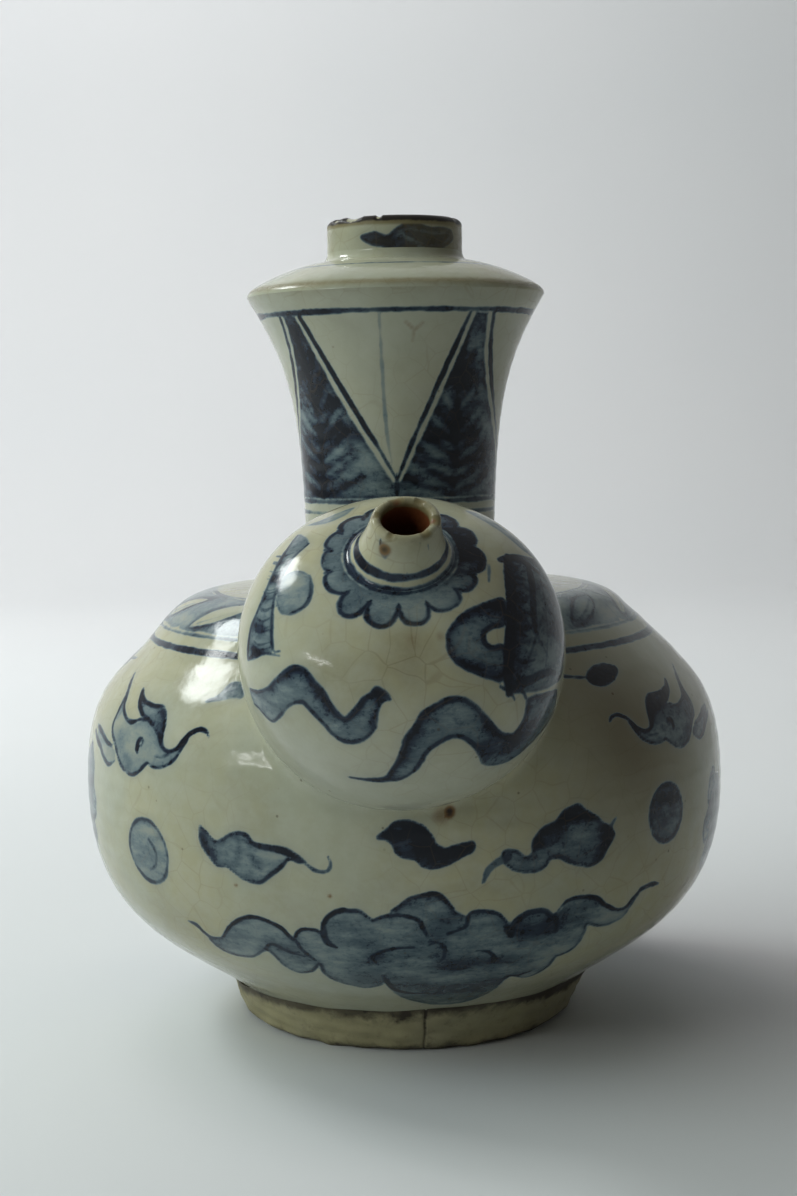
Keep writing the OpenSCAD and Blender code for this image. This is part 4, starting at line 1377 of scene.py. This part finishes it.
for scratch_turn, scratch_from, scratch_to in scratches:
    scratch = [(0.2, scratch_from), (0, scratch_to)]
    nozzle_art.stroke(nozzle_chart(scratch_turn, 0), scratch, 0.4, 0.9)
nozzle_layers = nozzle_art.layers(len(nozzle_grid))
lip_run = length_along(nozzle_profile) - length_along(nozzle_wall)[-1]
lip_brown = np.interp(lip_run, [-7, -3.5, -1, 1.5, 3.5, 5], [0.05, 0.3, 0.42, 0.5, 1.0, 2.2])
nozzle_layers["wear_and_shade"] = lip_brown[:, None] + 2.0 * lip_worn
nozzle_piece = lay("spout_nozzle_ware", nozzle_grid, nozzle_layers)
nozzle_glaze = glaze("nozzle_glaze", stain=colour(112, 104, 74), burnt=colour(98, 56, 32))
nozzle_piece.data.materials.append(nozzle_glaze)
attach(nozzle_piece, "root")
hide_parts("spout_nozzle")


# Stage
# A pale sheet for a floor that curves up behind, lit softly from the left as if by a window.
# What lies far from the pot is made to look pale from any side, without lighting the pot.
def pale_to_eye(tree):
    """1 for what the camera sees, a half for what it sees in a shine or through glass, and else 0."""
    path = tree.nodes.new("ShaderNodeLightPath")
    eye = Shade(tree, path.outputs["Is Camera Ray"])
    shine = Shade(tree, path.outputs["Is Glossy Ray"])
    glass = Shade(tree, path.outputs["Is Transmission Ray"])
    return eye + (shine + glass) * 0.5


sweep_t = np.linspace(0, np.pi / 2, 16)
sweep_y = np.concatenate([[-2.0, 0.0], 1.1 + 0.5 * np.sin(sweep_t), [1.6]])
sweep_z = np.concatenate([[0.0, 0.0], 0.5 - 0.5 * np.cos(sweep_t), [3.0]])
sweep_x = np.array([-3.0, 3.0])
sweep = np.stack(np.broadcast_arrays(sweep_x, sweep_y[:, None], sweep_z[:, None]), -1)
sweep_faces = np.arange(len(sweep_y) - 1)[:, None] * 2 + np.array([0, 1, 3, 2])
stage_mesh = bpy.data.meshes.new("sweep")
stage_mesh.from_pydata(sweep.reshape(-1, 3).tolist(), [], sweep_faces.tolist())
stage_mesh.shade_smooth()
stage = bpy.data.objects.new("sweep", stage_mesh)
bpy.context.scene.collection.objects.link(stage)
paper, surface, here = material_of("paper")
pale = here.grain(3, 2).mix(colour(212, 216, 217), colour(218, 220, 220))
here.join(pale, surface.inputs["Base Color"])
surface.inputs["Roughness"].default_value = 0.8
# The sheet glows only far from the pot and away from the lamps.
aside = here.math("ABSOLUTE", here.axis("X"), 0).rise(1.3, 0.6)
far = 1 - aside * here.axis("Y").rise(-1.3, -0.7) * here.axis("Z").rise(1.5, 0.8)
lamp_side = {0: here, 1: (-0.7, 0.0, 0.0)}
unlit = here.node("ShaderNodeVectorMath", {"operation": "DISTANCE"}, lamp_side, 1).rise(0.8, 1.6)
lit = pale_to_eye(here.tree) * far * unlit * 0.5
surface.inputs["Emission Strength"].default_value = 1.0
here.join(lit.mix(colour(0, 0, 0), (1.0, 1.0, 1.0, 1.0)), surface.inputs["Emission Color"])
stage_mesh.materials.append(paper)

for name, lamp_at, aim, size, watts, tint, shows in (
    ("window", (-0.78, 0.42, 0.92), (0, 0, 0.09), (0.34, 0.24), 4.8, (0.95, 1.0, 0.99), True),
    ("sky", (-1.28, -0.36, 1.02), (0, 0, 0.09), (1.6, 1.4), 17.5, (0.9, 1.0, 0.98), False),
    ("gap", (-0.95, -0.75, 0.5), (0, 0, 0.09), (0.4, 0.03), 1.3, (1.0, 1.0, 1.0), True),
    ("ceiling", (0.0, 0.2, 1.5), (0, 0, 0), (1.2, 1.2), 2.7, (1.0, 0.98, 0.95), False),
    ("backdrop", (-0.6, 0.7, 1.3), (-0.2, 1.6, 0.5), (0.8, 0.8), 13.0, (1.0, 0.95, 0.97), False),
):
    lamp = bpy.data.lights.new(name, "AREA")
    lamp.shape = "RECTANGLE"
    lamp.size = size[0]
    lamp.size_y = size[1]
    lamp.energy = watts
    lamp.color = tint
    holder = bpy.data.objects.new(name, lamp)
    holder.visible_glossy = shows
    bpy.context.scene.collection.objects.link(holder)
    lamp_z = np.subtract(lamp_at, aim)
    lamp_z = lamp_z / np.linalg.norm(lamp_z)
    lamp_x = np.cross((0, 0, 1), lamp_z)
    lamp_x = lamp_x / np.linalg.norm(lamp_x)
    axes = np.stack([lamp_x, np.cross(lamp_z, lamp_x), lamp_z, lamp_at], -1)
    holder.matrix_world = Matrix([*axes.tolist(), [0, 0, 0, 1]])

world = bpy.data.worlds.new("room")
world.use_nodes = True
room = world.node_tree.nodes["Background"]
seen = pale_to_eye(world.node_tree)
seen.join(seen.mix((0.92, 0.9, 0.84, 1), (0.87, 0.88, 0.89, 1)), room.inputs["Color"])
seen.join(0.05 + seen * 0.6, room.inputs["Strength"])
bpy.context.scene.world = world
bpy.context.scene.view_settings.view_transform = "Standard"

# Camera
# Solved from the photo: 47 cm in front of the pot's axis and 15 cm up, looking slightly down.
photo_height = 1196
camera_at = np.array([0, -0.47407, 0.15187])
pitch, roll, yaw = np.radians([5.66, 1.0, -0.08])
focal_px = 1860
forward = np.array([math.sin(yaw) * math.cos(pitch), math.cos(yaw) * math.cos(pitch), -math.sin(pitch)])
level = np.array([math.cos(yaw), -math.sin(yaw), 0])
upright = np.cross(level, forward)
camera_x = math.cos(roll) * level - math.sin(roll) * upright
camera_y = math.sin(roll) * level + math.cos(roll) * upright
lens = bpy.data.cameras.new("camera")
lens.sensor_fit = "AUTO"
lens.sensor_width = 36
lens.lens = focal_px * lens.sensor_width / photo_height
camera = bpy.data.objects.new("camera", lens)
bpy.context.scene.collection.objects.link(camera)
camera_axes = np.stack([camera_x, camera_y, -forward, camera_at], -1)
camera.matrix_world = Matrix([*camera_axes.tolist(), [0, 0, 0, 1]])
bpy.context.scene.camera = camera
